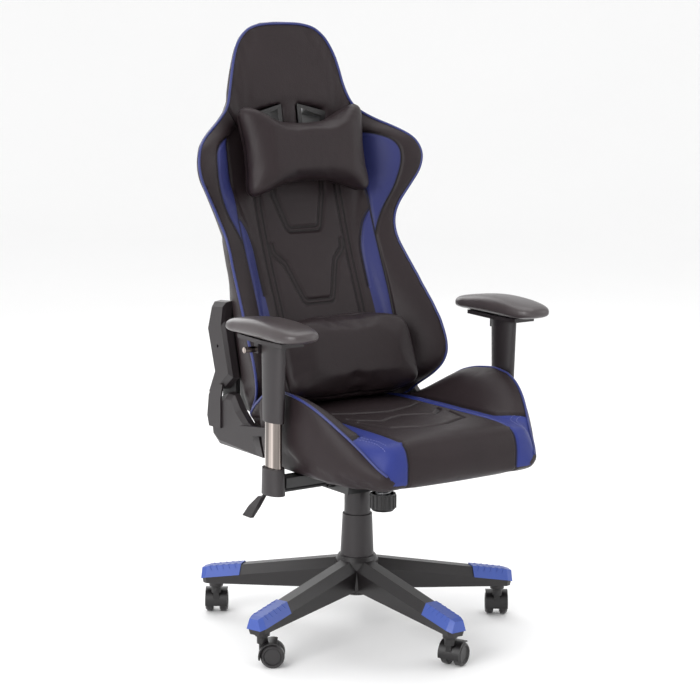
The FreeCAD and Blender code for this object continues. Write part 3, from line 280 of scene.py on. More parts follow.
def stations(table, at):
    """Reads a table of stations smoothly.

    The table's first column is the position, and the others are what changes along it.
    """
    table = np.array(table, float)
    x, values = table[:, 0], table[:, 1:]
    slopes = np.gradient(values, x, axis=0)
    at = np.clip(np.atleast_1d(np.array(at, float)), x[0], x[-1])
    i = np.clip(np.searchsorted(x, at, side="right") - 1, 0, len(x) - 2)
    span = (x[i + 1] - x[i])[:, None]
    t = (at - x[i])[:, None] / span
    a, b = values[i], values[i + 1]
    left = slopes[i] * span
    right = slopes[i + 1] * span
    return (
        a * (2 * t**3 - 3 * t**2 + 1)
        + left * (t**3 - 2 * t**2 + t)
        + b * (3 * t**2 - 2 * t**3)
        + right * (t**3 - t**2)
    )


def smooth_line(points, spacing, steps=14):
    """Evenly spaced points on a smooth line through the ones given."""
    points = np.array(points, float)
    padded = np.vstack([2 * points[0] - points[1], points, 2 * points[-1] - points[-2]])
    line = []
    for a, b, c, e in zip(padded[:-3], padded[1:-2], padded[2:-1], padded[3:]):
        for t in np.arange(steps) / steps:
            square, cube = 2 * a - 5 * b + 4 * c - e, 3 * b - a - 3 * c + e
            line.append(0.5 * (2 * b + (c - a) * t + square * t**2 + cube * t**3))
    line.append(points[-1])
    return evenly(np.array(line), spacing)


def evenly(line, spacing):
    """The same line with its points evenly spaced."""
    line = np.array(line, float)
    run = np.concatenate([[0], np.cumsum(np.linalg.norm(np.diff(line, axis=0), axis=1))])
    count = max(2, int(round(run[-1] / spacing)) + 1)
    at = np.linspace(0, run[-1], count)
    return np.stack([np.interp(at, run, line[:, k]) for k in range(line.shape[1])], axis=1)


def mirrored_line(points):
    """A half line from its centre end outwards, carried round to its mirror image."""
    points = np.array(points, float)
    other = points * np.array([-1] + [1] * (points.shape[1] - 1))
    skip = 1 if abs(points[0, 0]) < 1e-6 else 0
    return np.vstack([other[::-1], points[skip:]])


def new_piece(name, vertices, faces):
    mesh = bpy.data.meshes.new(name)
    mesh.from_pydata([tuple(map(float, v)) for v in vertices], [], faces)
    mesh.update()
    piece = bpy.data.objects.new(name, mesh)
    bpy.context.scene.collection.objects.link(piece)
    return piece


def loft(name, rings):
    """A closed skin over rings of points, with a flat cap on each end."""
    rings = np.array(rings)
    rows, count = rings.shape[:2]
    faces = []
    for row in range(rows - 1):
        for k in range(count):
            after = (k + 1) % count
            low, high = row * count, (row + 1) * count
            faces.append((low + k, low + after, high + after, high + k))
    faces.append(tuple(range(count))[::-1])
    faces.append(tuple((rows - 1) * count + k for k in range(count)))
    piece = new_piece(name, rings.reshape(-1, 3), faces)
    set_outwards(piece)
    return piece


def set_outwards(piece):
    """Turns every face of a closed shell outwards."""
    activate(piece)
    bpy.ops.object.mode_set(mode="EDIT")
    bpy.ops.mesh.select_all(action="SELECT")
    bpy.ops.mesh.normals_make_consistent(inside=False)
    bpy.ops.object.mode_set(mode="OBJECT")


def activate(piece):
    bpy.ops.object.select_all(action="DESELECT")
    piece.select_set(True)
    bpy.context.view_layer.objects.active = piece


def apply_modifier(piece, kind, **settings):
    activate(piece)
    modifier = piece.modifiers.new(kind.lower(), kind)
    for setting, value in settings.items():
        setattr(modifier, setting, value)
    bpy.ops.object.modifier_apply(modifier=modifier.name)


def points_of(piece):
    flat = np.empty(len(piece.data.vertices) * 3)
    piece.data.vertices.foreach_get("co", flat)
    return flat.reshape(-1, 3)


def normals_of(piece):
    flat = np.empty(len(piece.data.vertices) * 3)
    piece.data.vertex_normals.foreach_get("vector", flat)
    return flat.reshape(-1, 3)


def set_points(piece, points):
    piece.data.vertices.foreach_set("co", np.array(points, float).ravel())
    piece.data.update()


def set_attribute(piece, name, values):
    attribute = piece.data.attributes.new(name, "FLOAT", "POINT")
    attribute.data.foreach_set("value", np.array(values, np.float32))


def surface_tree(piece):
    faces = [tuple(face.vertices) for face in piece.data.polygons]
    return BVHTree.FromPolygons([tuple(point) for point in points_of(piece)], faces)


def lay_on(tree, line, direction, start):
    """Drops a flat line onto a surface along one direction, beginning from a plane outside the surface."""
    direction = Vector(direction)
    laid = []
    for point in line:
        origin = Vector(point)
        origin = origin - direction * (origin.dot(direction) - start)
        hit = tree.ray_cast(origin, direction)
        if hit[0] is not None:
            laid.append(hit[0])
    return np.array([tuple(p) for p in laid])


def distance_to(points, lines):
    """How far each point is from the nearest of the lines."""
    every = np.vstack([evenly(line, 0.0015) for line in lines if len(line) > 1])
    tree = KDTree(len(every))
    for k, point in enumerate(every):
        tree.insert(point, k)
    tree.balance()
    return np.array([tree.find(point)[2] for point in points])


def depth_inside(points, outline):
    """How far each flat point is inside a closed outline. It is negative outside."""
    outline = np.array(outline, float)
    nearest = np.full(len(points), np.inf)
    inside = np.zeros(len(points), bool)
    for a, b in zip(outline, np.roll(outline, -1, axis=0)):
        edge = b - a
        t = np.clip(((points - a) @ edge) / (edge @ edge), 0, 1)
        nearest = np.minimum(nearest, np.linalg.norm(points - a - t[:, None] * edge, axis=1))
        crosses = (a[1] > points[:, 1]) != (b[1] > points[:, 1])
        rise = b[1] - a[1] if b[1] != a[1] else 1e-9
        inside ^= crosses & (points[:, 0] < a[0] + (points[:, 1] - a[1]) * edge[0] / rise)
    return np.where(inside, nearest, -nearest)


SWELL_FRAMES = 20
PRESSURE = 4.0
VOXEL = 0.005
# Points this near to a held line are held, in voxels.
HELD_REACH = 1.3


def swell(piece, voxel, cap, held):
    """Fills a sewn cover: a cloth simulation under pressure, held along its seams.

    No point moves further than cap, in metres.
    """
    apply_modifier(piece, "REMESH", mode="VOXEL", voxel_size=voxel)
    before = points_of(piece)
    group = piece.vertex_groups.new(name="held")
    distance = distance_to(before, held) if held else np.full(len(before), 1.0)
    for index in np.nonzero(distance < voxel * HELD_REACH)[0]:
        group.add([int(index)], 1.0, "REPLACE")
    modifier = piece.modifiers.new("swell", "CLOTH")
    cloth = modifier.settings
    cloth.quality = 4
    cloth.mass = 0.3
    cloth.tension_stiffness = cloth.compression_stiffness = 18
    cloth.shear_stiffness = 8
    cloth.bending_stiffness = 0.6
    cloth.use_pressure = True
    cloth.uniform_pressure_force = PRESSURE
    cloth.effector_weights.gravity = 0.0
    if held:
        cloth.vertex_group_mass = "held"
    modifier.collision_settings.use_collision = False
    modifier.point_cache.frame_start = 1
    modifier.point_cache.frame_end = SWELL_FRAMES
    scene = bpy.context.scene
    for step in range(1, SWELL_FRAMES + 1):
        scene.frame_set(step)
    shown = piece.evaluated_get(bpy.context.evaluated_depsgraph_get())
    flat = np.empty(len(shown.data.vertices) * 3)
    shown.data.vertices.foreach_get("co", flat)
    moved = flat.reshape(-1, 3) - before
    length = np.linalg.norm(moved, axis=1)
    share = np.minimum(1.0, cap / np.maximum(length, 1e-9))
    piece.modifiers.remove(modifier)
    piece.vertex_groups.clear()
    scene.frame_set(1)
    set_points(piece, before + moved * share[:, None])


def refine(piece, passes=3):
    apply_modifier(piece, "SMOOTH", factor=0.5, iterations=passes)
    apply_modifier(piece, "SUBSURF", levels=1, render_levels=1)
    shade_smooth(piece)


def shade_smooth(piece):
    piece.data.polygons.foreach_set("use_smooth", [True] * len(piece.data.polygons))
    piece.data.update()


def sew(piece, lines, depth, width):
    """Pulls the surface in along each seam, and keeps the distance to the nearest seam for the material,
    which paints shade along the seams from it.
    """
    points, normals = points_of(piece), normals_of(piece)
    distance = distance_to(points, lines)
    share = np.clip(1 - (distance / width) ** 2, 0, 1) ** 2
    set_points(piece, points - normals * (depth * share)[:, None])
    set_attribute(piece, "seam", distance)


def tube(name, line, radius):
    """A round bead along a line."""
    curve = bpy.data.curves.new(name, "CURVE")
    curve.dimensions = "3D"
    curve.bevel_depth = radius
    curve.bevel_resolution = 2
    curve.use_fill_caps = True
    spline = curve.splines.new("POLY")
    spline.points.add(len(line) - 1)
    spline.points.foreach_set("co", np.hstack([line, np.ones((len(line), 1))]).ravel())
    holder = bpy.data.objects.new(name, curve)
    bpy.context.scene.collection.objects.link(holder)
    bpy.context.view_layer.update()
    mesh = bpy.data.meshes.new_from_object(holder.evaluated_get(bpy.context.evaluated_depsgraph_get()))
    bpy.data.objects.remove(holder)
    mesh.name = name
    piece = bpy.data.objects.new(name, mesh)
    bpy.context.scene.collection.objects.link(piece)
    shade_smooth(piece)
    return piece


PIPING_RADIUS = 0.0028


def bead_line(tree, line, proud=0.0012, passes=14):
    """A line laid on a surface and evened out, so that a bead along it runs without kinks."""
    laid = []
    for point in line:
        near, normal, _, _ = tree.find_nearest(Vector(point))
        laid.append(near + normal * proud)
    laid = np.array(laid)
    for _ in range(passes):
        laid[1:-1] = 0.25 * laid[:-2] + 0.5 * laid[1:-1] + 0.25 * laid[2:]
    return laid


def merge(name, pieces):
    activate(pieces[0])
    for piece in pieces[1:]:
        piece.select_set(True)
    bpy.ops.object.join()
    pieces[0].name = name
    pieces[0].data.name = name
    return pieces[0]


STITCH_PITCH = 0.0062
STITCH_LENGTH = 0.0042
STITCH_RADIUS = 0.0006
# Share of the stitch's length and of its radius, from one end to the other.
STITCH_RINGS = ((-0.5, 0.35), (-0.3, 1.0), (0.3, 1.0), (0.5, 0.35))
STITCH_SIDES = 6


def stitches(name, lines, tree):
    """A row of short raised threads along each line, each a thin six-sided bead lying on the surface."""
    vertices, faces = [], []
    for line in lines:
        places = evenly(line, STITCH_PITCH)
        for a, b in zip(places[:-1], places[1:]):
            along = Vector(b - a)
            if along.length < 1e-6:
                continue
            along.normalize()
            near, normal, _, _ = tree.find_nearest(Vector((a + b) / 2))
            side = along.cross(normal).normalized()
            base = len(vertices)
            for share, size in STITCH_RINGS:
                centre = near + along * (share * STITCH_LENGTH) + normal * (STITCH_RADIUS * 0.4)
                for k in range(STITCH_SIDES):
                    angle = 2 * math.pi * k / STITCH_SIDES
                    outwards = side * math.cos(angle) + normal * math.sin(angle)
                    vertices.append(centre + outwards * STITCH_RADIUS * size)
            for ring in range(len(STITCH_RINGS) - 1):
                low = base + ring * STITCH_SIDES
                high = low + STITCH_SIDES
                for k in range(STITCH_SIDES):
                    after = (k + 1) % STITCH_SIDES
                    faces.append((low + k, low + after, high + after, high + k))
            last = base + (len(STITCH_RINGS) - 1) * STITCH_SIDES
            faces.append(tuple(base + k for k in range(STITCH_SIDES))[::-1])
            faces.append(tuple(last + k for k in range(STITCH_SIDES)))
    piece = new_piece(name, vertices, faces)
    set_outwards(piece)
    shade_smooth(piece)
    return piece


def dress(piece, material, body):
    piece.data.materials.clear()
    piece.data.materials.append(material)
    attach(piece, body)
    return piece


# ---------------------------------------------------------------- finishes

BACK_LEATHER = leather("back_leather", BLUE_HIDE)
SEAT_LEATHER = leather("seat_leather", SEAT_BLUE)
PILLOW_LEATHER = leather("pillow_leather", BLUE_HIDE)
PIPING = moulding("blue_piping", colour(38, 46, 104), 0.36, 1400.0, 0.0001)
THREAD = moulding("thread", colour(96, 102, 156), 0.6, 2400.0, 0.0001)
SOFT_PAD = moulding("soft_pad", colour(62, 56, 57), 0.32, 700.0)
COVER_PLASTIC = moulding("cover_plastic", colour(34, 29, 31), 0.42)
BASE_NYLON = moulding("base_nylon", colour(28, 25, 26), 0.38)
DARK_PLASTIC = moulding("dark_plastic", colour(20, 18, 19), 0.34)
WHEEL_NYLON = moulding("wheel_nylon", colour(36, 34, 35), 0.36)
FOOT_BLUE = moulding("foot_blue", colour(56, 80, 158), 0.38, 800.0)
# Chrome's colour holds painted reflections, upright light and dark stripes.
CHROME = metal("chrome", colour(176, 166, 160), 0.08, painted_reflections=True)
STEEL = metal("steel", colour(188, 188, 190), 0.28, 0.3)
BLACK_STEEL = powder_coat("black_steel", colour(30, 29, 30))
WEBBING = web_cloth("webbing", colour(42, 42, 44))

NODE_FINISHES = {
    "base_nylon": BASE_NYLON,
    "cap_blue": FOOT_BLUE,
    "black_plastic": COVER_PLASTIC,
    "dark_plastic": DARK_PLASTIC,
    "wheel_nylon": WHEEL_NYLON,
    "chrome": CHROME,
    "steel": STEEL,
    "black_steel": BLACK_STEEL,
    "leather_black": BACK_LEATHER,
    "leather_blue": BACK_LEATHER,
    "pad_pu": SOFT_PAD,
    "webbing": WEBBING,
}


def finish_nodes():
    """Gives every CAD node the finish of its slot."""
    slots = {part["node"]: part["material_slot"] for part in frame["record"]["subparts"]}
    for name, node in frame["nodes"].items():
        node.data.materials.clear()
        node.data.materials.append(NODE_FINISHES[slots[name]])


# ---------------------------------------------------------------- backrest

# Height, front y and rear y of the backrest on its centre line.
SPINE = [
    (0.461, 0.134, 0.164),
    (0.472, 0.126, 0.167),
    (0.486, 0.098, 0.169),
    (0.500, 0.080, 0.170),
    (0.580, 0.103, 0.182),
    (0.664, 0.135, 0.214),
    (0.774, 0.181, 0.260),
    (0.895, 0.222, 0.298),
    (1.000, 0.247, 0.319),
    (1.084, 0.262, 0.330),
    (1.160, 0.277, 0.337),
    (1.215, 0.288, 0.338),
    (1.242, 0.291, 0.330),
    (1.255, 0.292, 0.318),
]
# Height, half-width and y of the front edge, and half-width at the rear.
FLANK = [
    (0.461, 0.190, 0.110, 0.176),
    (0.466, 0.197, 0.100, 0.182),
    (0.480, 0.206, 0.084, 0.188),
    (0.497, 0.214, 0.064, 0.192),
    (0.513, 0.225, 0.043, 0.195),
    (0.544, 0.240, 0.019, 0.200),
    (0.580, 0.248, 0.016, 0.200),
    (0.637, 0.246, 0.043, 0.196),
    (0.711, 0.233, 0.094, 0.180),
    (0.760, 0.224, 0.130, 0.170),
    (0.808, 0.216, 0.162, 0.166),
    (0.832, 0.219, 0.172, 0.163),
    (0.859, 0.229, 0.178, 0.162),
    (0.915, 0.262, 0.168, 0.172),
    (0.945, 0.280, 0.162, 0.182),
    (0.972, 0.286, 0.161, 0.180),
    (0.993, 0.282, 0.167, 0.172),
    (1.013, 0.270, 0.179, 0.160),
    (1.030, 0.244, 0.200, 0.146),
    (1.059, 0.189, 0.237, 0.120),
    (1.084, 0.160, 0.252, 0.110),
    (1.118, 0.147, 0.263, 0.104),
    (1.174, 0.133, 0.272, 0.094),
    (1.210, 0.118, 0.281, 0.080),
    (1.236, 0.097, 0.286, 0.062),
    (1.250, 0.070, 0.290, 0.044),
    (1.255, 0.052, 0.294, 0.034),
]
WING_FOLD = 0.168
NECK_HEIGHT = 1.078
# Height, and how early the wing sweeps forward on its way out from the fold.
SWEEP = [(0.48, 1.5), (0.62, 1.5), (0.78, 1.6), (0.88, 2.2), (0.98, 2.7), (1.10, 2.4)]
FRONT_STEPS = 36
SIDE_STEPS = 26


def back_ring(height):
    """The backrest's section at one height, right half then left."""
    front, rear = stations(SPINE, height)[0]
    edge, edge_y, rear_half = stations(FLANK, height)[0]
    fold = min(WING_FOLD, 0.62 * edge)
    x = np.linspace(0, edge, FRONT_STEPS)
    u = np.clip((x - fold) / (edge - fold), 0, 1)
    wing = np.clip((NECK_HEIGHT - height) / 0.05, 0, 1)
    swept = 1 - (1 - u) ** stations(SWEEP, height)[0, 0]
    y = front + (edge_y - front) * (wing * swept + (1 - wing) * u**2.2)
    face = np.stack([x, y], axis=1)
    side = smooth_line(
        [
            (edge, edge_y),
            (edge - 0.001, edge_y + 0.010),
            (edge + (rear_half - edge) * 0.42, edge_y + (rear - edge_y) * 0.45),
            (rear_half + 0.006, edge_y + (rear - edge_y) * 0.84),
            (rear_half - 0.008, rear - 0.006),
            (rear_half * 0.72, rear + 0.001),
            (rear_half * 0.36, rear + 0.002),
            (0, rear + 0.002),
        ],
        0.001,
    )
    picked = side[np.linspace(0, len(side) - 1, SIDE_STEPS).round().astype(int)]
    half = np.vstack([face, picked[1:]])
    full = np.vstack([half, half[-2:0:-1] * (-1, 1)])
    return np.column_stack([full, np.full(len(full), height)])


HARNESS_RIM = [(0.018, 1.0872), (0.0925, 1.0705), (0.076, 0.999), (0.018, 0.9945)]

PANEL_LOW = [
    (0.168, 0.862),
    (0.158, 0.850),
    (0.147, 0.830),
    (0.139, 0.803),
    (0.135, 0.770),
    (0.134, 0.700),
    (0.134, 0.480),
    (0.168, 0.480),
]
PANEL_HIGH = [
    (0.168, 0.806),
    (0.180, 0.834),
    (0.199, 0.868),
    (0.216, 0.900),
    (0.228, 0.935),
    (0.233, 0.965),
    (0.231, 0.992),
    (0.217, 1.010),
    (0.192, 1.019),
    (0.166, 1.022),
    (0.166, 0.955),
    (0.168, 0.860),
]
QUILTING = [
    [(0.069, 0.935), (0.067, 0.900), (0.044, 0.828), (0.036, 0.822), (0, 0.822)],
    [(0.061, 0.935), (0.059, 0.902), (0.038, 0.835), (0.032, 0.830), (0, 0.830)],
    [(0.094, 0.800), (0.092, 0.779), (0.068, 0.757), (0.040, 0.681), (0.034, 0.675), (0, 0.675)],
    [(0.086, 0.800), (0.084, 0.783), (0.061, 0.761), (0.034, 0.687), (0.028, 0.683), (0, 0.683)],
]
CHANNELS = [
    [(0.098, 0.500), (0.098, 0.985)],
    [(0.110, 0.500), (0.110, 0.985)],
]
SHOULDER_SEAM = [(0.104, 0.985), (0.118, 1.020), (0.140, 1.052), (0.158, 1.083)]
FOLD_SEAM = [(0.168, 0.490), (0.168, 0.860)]


def flat_line(points, spacing=0.004):
    """A line given as x and z, as points in space."""
    line = evenly(points, spacing)
    return np.column_stack([line[:, 0], np.zeros(len(line)), line[:, 1]])


def both_sides(lines):
    return lines + [line * (-1, 1, 1) for line in lines]


def make_backrest():
    heights = np.concatenate([np.linspace(0.462, 1.235, 128), np.linspace(1.240, 1.255, 6)])
    piece = loft("back_upholstery", [back_ring(h) for h in heights])
    for sign in (1, -1):
        outline = [(sign * x, z) for x, z in HARNESS_RIM]
        cutter = new_piece(
            "slot_cutter",
            [(x, y, z) for y in (0.15, 0.45) for x, z in outline],
            [(0, 1, 2, 3), (7, 6, 5, 4), (0, 4, 5, 1), (1, 5, 6, 2), (2, 6, 7, 3), (3, 7, 4, 0)],
        )
        set_outwards(cutter)
        apply_modifier(piece, "BOOLEAN", operation="DIFFERENCE", object=cutter, solver="EXACT")
        bpy.data.objects.remove(cutter)
    tree = surface_tree(piece)
    drop = dict(direction=(0, 1, 0), start=-0.3)
    flat = [flat_line(line) for line in QUILTING + CHANNELS]
    flat += [flat_line(smooth_line(SHOULDER_SEAM, 0.004)), flat_line(FOLD_SEAM)]
    flat += [flat_line(smooth_line(outline[:-1], 0.004)) for outline in (PANEL_LOW[:7], PANEL_HIGH[:11])]
    flat += [flat_line(PANEL_HIGH[9:])]
    seams = [lay_on(tree, line, **drop) for line in both_sides(flat)]
    edge = smooth_line([(x, y, z) for z, x, y, _ in FLANK[:-1]], 0.004)
    edges = [edge, edge * (-1, 1, 1)]
    swell(piece, VOXEL, 0.0045, seams + edges)
    refine(piece, 6)
    sew(piece, seams, 0.0036, 0.0065)
    points, normals = points_of(piece), normals_of(piece)
    spread = np.column_stack([abs(points[:, 0]), points[:, 2]])
    panel = np.maximum(
        depth_inside(spread, smooth_line(PANEL_LOW[:7], 0.004).tolist() + PANEL_LOW[7:]),
        depth_inside(spread, smooth_line(PANEL_HIGH[:10], 0.004).tolist() + PANEL_HIGH[10:]),
    )
    set_attribute(piece, "panel", np.where(normals[:, 1] < 0.25, panel, -1.0))
    dress(piece, BACK_LEATHER, "backrest")
    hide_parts("back_cushion", "back_wing_left", "back_wing_right")

    final = surface_tree(piece)
    rail = mirrored_line([(0, 0.2915, 1.2555)] + [(x, y, z) for z, x, y, _ in FLANK[::-1][1:]])
    piping = tube("back_piping", bead_line(final, smooth_line(rail, 0.004)), PIPING_RADIUS)
    dress(piping, PIPING, "backrest")


# ---------------------------------------------------------------- seat

# Distance from the front, then the top of the middle, half-width and height of the piped edge,
# widest half-width of the side and height of the underside.
SEAT_STATIONS = [
    (-0.352, 0.440, 0.172, 0.404, 0.176, 0.396),
    (-0.347, 0.458, 0.182, 0.417, 0.186, 0.390),
    (-0.336, 0.472, 0.190, 0.425, 0.196, 0.386),
    (-0.311, 0.4795, 0.202, 0.447, 0.212, 0.385),
    (-0.283, 0.482, 0.218, 0.475, 0.229, 0.385),
    (-0.247, 0.483, 0.237, 0.505, 0.247, 0.385),
    (-0.201, 0.483, 0.254, 0.534, 0.260, 0.385),
    (-0.150, 0.483, 0.262, 0.549, 0.263, 0.385),
    (-0.108, 0.483, 0.261, 0.550, 0.263, 0.385),
    (-0.042, 0.483, 0.252, 0.538, 0.260, 0.385),
    (0.014, 0.482, 0.244, 0.509, 0.250, 0.385),
    (0.044, 0.481, 0.235, 0.489, 0.242, 0.385),
    (0.066, 0.480, 0.224, 0.474, 0.228, 0.385),
    (0.083, 0.479, 0.205, 0.461, 0.208, 0.385),
    (0.098, 0.476, 0.182, 0.456, 0.186, 0.386),
    (0.112, 0.470, 0.168, 0.452, 0.172, 0.390),
    (0.122, 0.456, 0.158, 0.444, 0.162, 0.400),
]
VALLEY = 0.165
# Behind this y the sides step in to leave room for the recliner's covers.
COVER_ROOM_START = -0.012
COVER_ROOM_X = 0.2085


def seat_ring(y):
    """The seat's section at one distance from the front, right half then left."""
    top, edge, edge_z, widest, bottom = stations(SEAT_STATIONS, y)[0]
    valley = min(VALLEY, edge - 0.03)
    x = np.linspace(0, edge, FRONT_STEPS)
    u = np.clip((x - valley) / (edge - valley), 0, 1)
    trough = top - 0.006 * np.clip(x / valley, 0, 1) ** 4
    rise = edge_z - top + 0.006
    steep = 1.1 + 0.6 * np.clip((-0.20 - y) / 0.08, 0, 1)
    shape = np.sin(u * math.pi / 2) ** steep if rise > 0 else u**1.8
    face = np.stack([x, trough + rise * shape], axis=1)
    if y > COVER_ROOM_START:
        foot = min(COVER_ROOM_X, widest)
        flank = [(edge - 0.002, edge_z - 0.010), (foot, min(0.462, edge_z - 0.018)), (foot, 0.430)]
    else:
        high, low = edge_z - 0.16 * (edge_z - bottom), bottom + 0.5 * (edge_z - bottom)
        flank = [(edge + (widest - edge) * 0.8 + 0.002, high), (widest + 0.002, low)]
        foot = widest
    turn = [(foot - 0.006, bottom + 0.14 * (edge_z - bottom)), (foot - 0.022, bottom + 0.001)]
    under = [(foot * 0.6, bottom), (foot * 0.3, bottom), (0, bottom)]
    side = smooth_line([(edge, edge_z)] + flank + turn + under, 0.001)
    picked = side[np.linspace(0, len(side) - 1, SIDE_STEPS).round().astype(int)]
    half = np.vstack([face, picked[1:]])
    full = np.vstack([half, half[-2:0:-1] * (-1, 1)])
    return np.column_stack([full[:, 0], np.full(len(full), y), full[:, 1]])


STRIPE_INNER = [(0.132, 0.120), (0.132, -0.070), (0.136, -0.220), (0.136, -0.290), (0.134, -0.320)]
STRIPE_OUTER = [
    (0.166, 0.122),
    (0.167, -0.070),
    (0.169, -0.215),
    (0.177, -0.246),
    (0.194, -0.267),
    (0.216, -0.277),
]
SEAT_QUILTING = [
    [(0, -0.262), (0.024, -0.262), (0.093, -0.234), (0.113, -0.156)],
    [(0, -0.148), (0.040, -0.160), (0.065, -0.174), (0.105, -0.139), (0.112, -0.118)],
    [(0, -0.104), (0.012, -0.103), (0.073, -0.084), (0.107, -0.061)],
]


# The double-stitched corner between the bolster's nose and the front panel.
NOSE_SEAM = [(0.202, -0.272), (0.184, -0.280), (0.174, -0.296), (0.171, -0.326)]
STITCH_OFFSET = 0.0042


def plan_line(points, spacing=0.004):
    """A line given as x and y, as points in space."""
    line = evenly(points, spacing)
    return np.column_stack([line[:, 0], line[:, 1], np.zeros(len(line))])


def make_seat():
    piece = loft("seat_upholstery", [seat_ring(y) for y in np.linspace(-0.352, 0.124, 84)])
    tree = surface_tree(piece)
    drop = dict(direction=(0, 0, -1), start=-1.0)
    flat = [plan_line(line) for line in SEAT_QUILTING]
    flat += [plan_line(smooth_line(line, 0.004)) for line in (STRIPE_INNER, STRIPE_OUTER)]
    seams = [lay_on(tree, line, **drop) for line in both_sides(flat)]
    front = [np.array([(0.134, -0.5, z) for z in np.arange(0.388, 0.476, 0.004)])]
    seams += [lay_on(tree, line, (0, 1, 0), -0.6) for line in both_sides(front)]
    edge = smooth_line([(row[2], row[0], row[3]) for row in SEAT_STATIONS[1:14]], 0.004)
    swell(piece, VOXEL, 0.0055, seams + both_sides([edge]))
    refine(piece)
    sew(piece, seams, 0.0034, 0.0062)
    points, normals = points_of(piece), normals_of(piece)
    inner = smooth_line(STRIPE_INNER, 0.004).tolist()
    outer = smooth_line(STRIPE_OUTER, 0.004).tolist()
    outline = inner + [(0.134, -0.40), (0.26, -0.40), (0.26, -0.281)] + outer[::-1]
    spread = np.column_stack([abs(points[:, 0]), points[:, 1]])
    panel = depth_inside(spread, outline)
    rail = stations([(row[0], row[3]) for row in SEAT_STATIONS], points[:, 1])[:, 0]
    rail_x = stations([(row[0], row[2]) for row in SEAT_STATIONS], points[:, 1])[:, 0]
    outside = (abs(points[:, 0]) > rail_x - 0.004) & (points[:, 2] < rail - 0.001)
    under = normals[:, 2] < -0.45
    panel = np.where(outside | under, -1.0, panel)
    set_attribute(piece, "panel", panel)
    dress(piece, SEAT_LEATHER, "seat")
    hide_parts("seat_cushion", "seat_bolster_left", "seat_bolster_right")

    final = surface_tree(piece)
    pipes = []
    for sign in (1, -1):
        pipes.append(tube("seat_piping", bead_line(final, edge * (sign, 1, 1)), PIPING_RADIUS))
    dress(merge("seat_piping", pipes), PIPING, "seat")
    rows = []
    for offset in (-STITCH_OFFSET, STITCH_OFFSET):
        run = smooth_line([(x + offset, y - offset) for x, y in NOSE_SEAM], 0.004)
        rows += [lay_on(final, line, **drop) for line in both_sides([plan_line(run)])]
    dress(stitches("seat_stitching", rows, final), THREAD, "seat")


# ---------------------------------------------------------------- pillows


def pillow_frame(node, lean):
    """The middle of a pillow's solid, and the directions along its thickness and its height."""
    low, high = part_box(node)
    lean = math.radians(lean)
    deep = Vector((0, math.cos(lean), -math.sin(lean)))
    tall = Vector((0, math.sin(lean), math.cos(lean)))
    return (low + high) / 2, deep, tall


# Share of the half-thickness, and how far the outline has drawn in there.
PILLOW_CROWN = [
    (-1.0, 0.42),
    (-0.93, 0.28),
    (-0.76, 0.15),
    (-0.46, 0.05),
    (0.0, 0.0),
    (0.46, 0.05),
    (0.76, 0.15),
    (0.93, 0.28),
    (1.0, 0.42),
]


def make_pillow(name, node, lean, offset, outline, thickness, corner, cap):
    """A stuffed case: two faces sewn round an outline, blown up, and set leaning on the backrest."""
    middle, deep, tall = pillow_frame(node, lean)
    middle = middle + Vector(offset)
    loop = smooth_line(np.vstack([outline, outline[:1]]), 0.006)[:-1]
    centre = loop.mean(axis=0)
    rings = []
    for share, inset in PILLOW_CROWN:
        scaled = centre + (loop - centre) * (1 - inset * corner)
        ring = []
        for x, v in scaled:
            point = middle + deep * (share * thickness) + tall * v
            ring.append((x, point.y, point.z))
        rings.append(ring)
    piece = loft(name, rings)
    swell(piece, VOXEL, cap, [])
    refine(piece, 12)
    return piece, middle, deep, tall, loop


def seam_round(piece, middle, deep, tall, loop, share, inset):
    """A line round a pillow's edge, laid on its surface from outside."""
    tree = surface_tree(piece)
    centre = loop.mean(axis=0)
    line = []
    for x, v in np.vstack([loop, loop[:1]]):
        spot = middle + deep * share + tall * (v * inset + centre[1] * (1 - inset))
        near = tree.find_nearest(Vector((x * inset, spot.y, spot.z)))[0]
        line.append(tuple(near))
    return np.array(line)


NECK_OUTLINE = [
    (0.000, 0.061),
    (0.060, 0.065),
    (0.106, 0.077),
    (0.132, 0.087),
    (0.148, 0.089),
    (0.159, 0.080),
    (0.160, 0.058),
    (0.155, 0.010),
    (0.154, -0.045),
    (0.157, -0.082),
    (0.153, -0.097),
    (0.139, -0.102),
    (0.100, -0.092),
    (0.050, -0.084),
    (0.000, -0.082),
]
LUMBAR_DROP = (0, -0.004, -0.027)
LUMBAR_OUTLINE = [
    (0.000, 0.086),
    (0.090, 0.083),
    (0.138, 0.075),
    (0.160, 0.062),
    (0.167, 0.036),
    (0.168, 0.000),
    (0.168, -0.040),
    (0.165, -0.066),
    (0.150, -0.078),
    (0.090, -0.084),
    (0.000, -0.085),
]


def whole(outline):
    """A pillow's outline from its right half."""
    right = np.array(outline)
    left = right[-2:0:-1] * (-1, 1)
    return np.vstack([right, left])


def make_neck_pillow():
    piece, middle, deep, tall, loop = make_pillow(
        "neck_pillow_case", "neck_pillow", 12.5, (0, 0, 0), whole(NECK_OUTLINE), 0.034, 0.7, 0.010
    )
    seam = seam_round(piece, middle, deep, tall, loop, 0.004, 1.05)
    sew(piece, [seam], 0.0022, 0.006)
    set_attribute(piece, "panel", np.full(len(piece.data.vertices), -1.0))
    dress(piece, PILLOW_LEATHER, "neck_pillow")
    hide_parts("neck_pillow")


def make_lumbar_pillow():
    piece, middle, deep, tall, loop = make_pillow(
        "lumbar_pillow_case", "lumbar_pillow", 21.5, LUMBAR_DROP, whole(LUMBAR_OUTLINE), 0.046, 0.34, 0.010
    )
    seam = seam_round(piece, middle, deep, tall, loop, -0.020, 1.05)
    sew(piece, [seam], 0.0022, 0.0055)
    set_attribute(piece, "panel", np.full(len(piece.data.vertices), -1.0))
    dress(piece, PILLOW_LEATHER, "lumbar_pillow")
    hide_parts("lumbar_pillow")


# ---------------------------------------------------------------- armrest pads

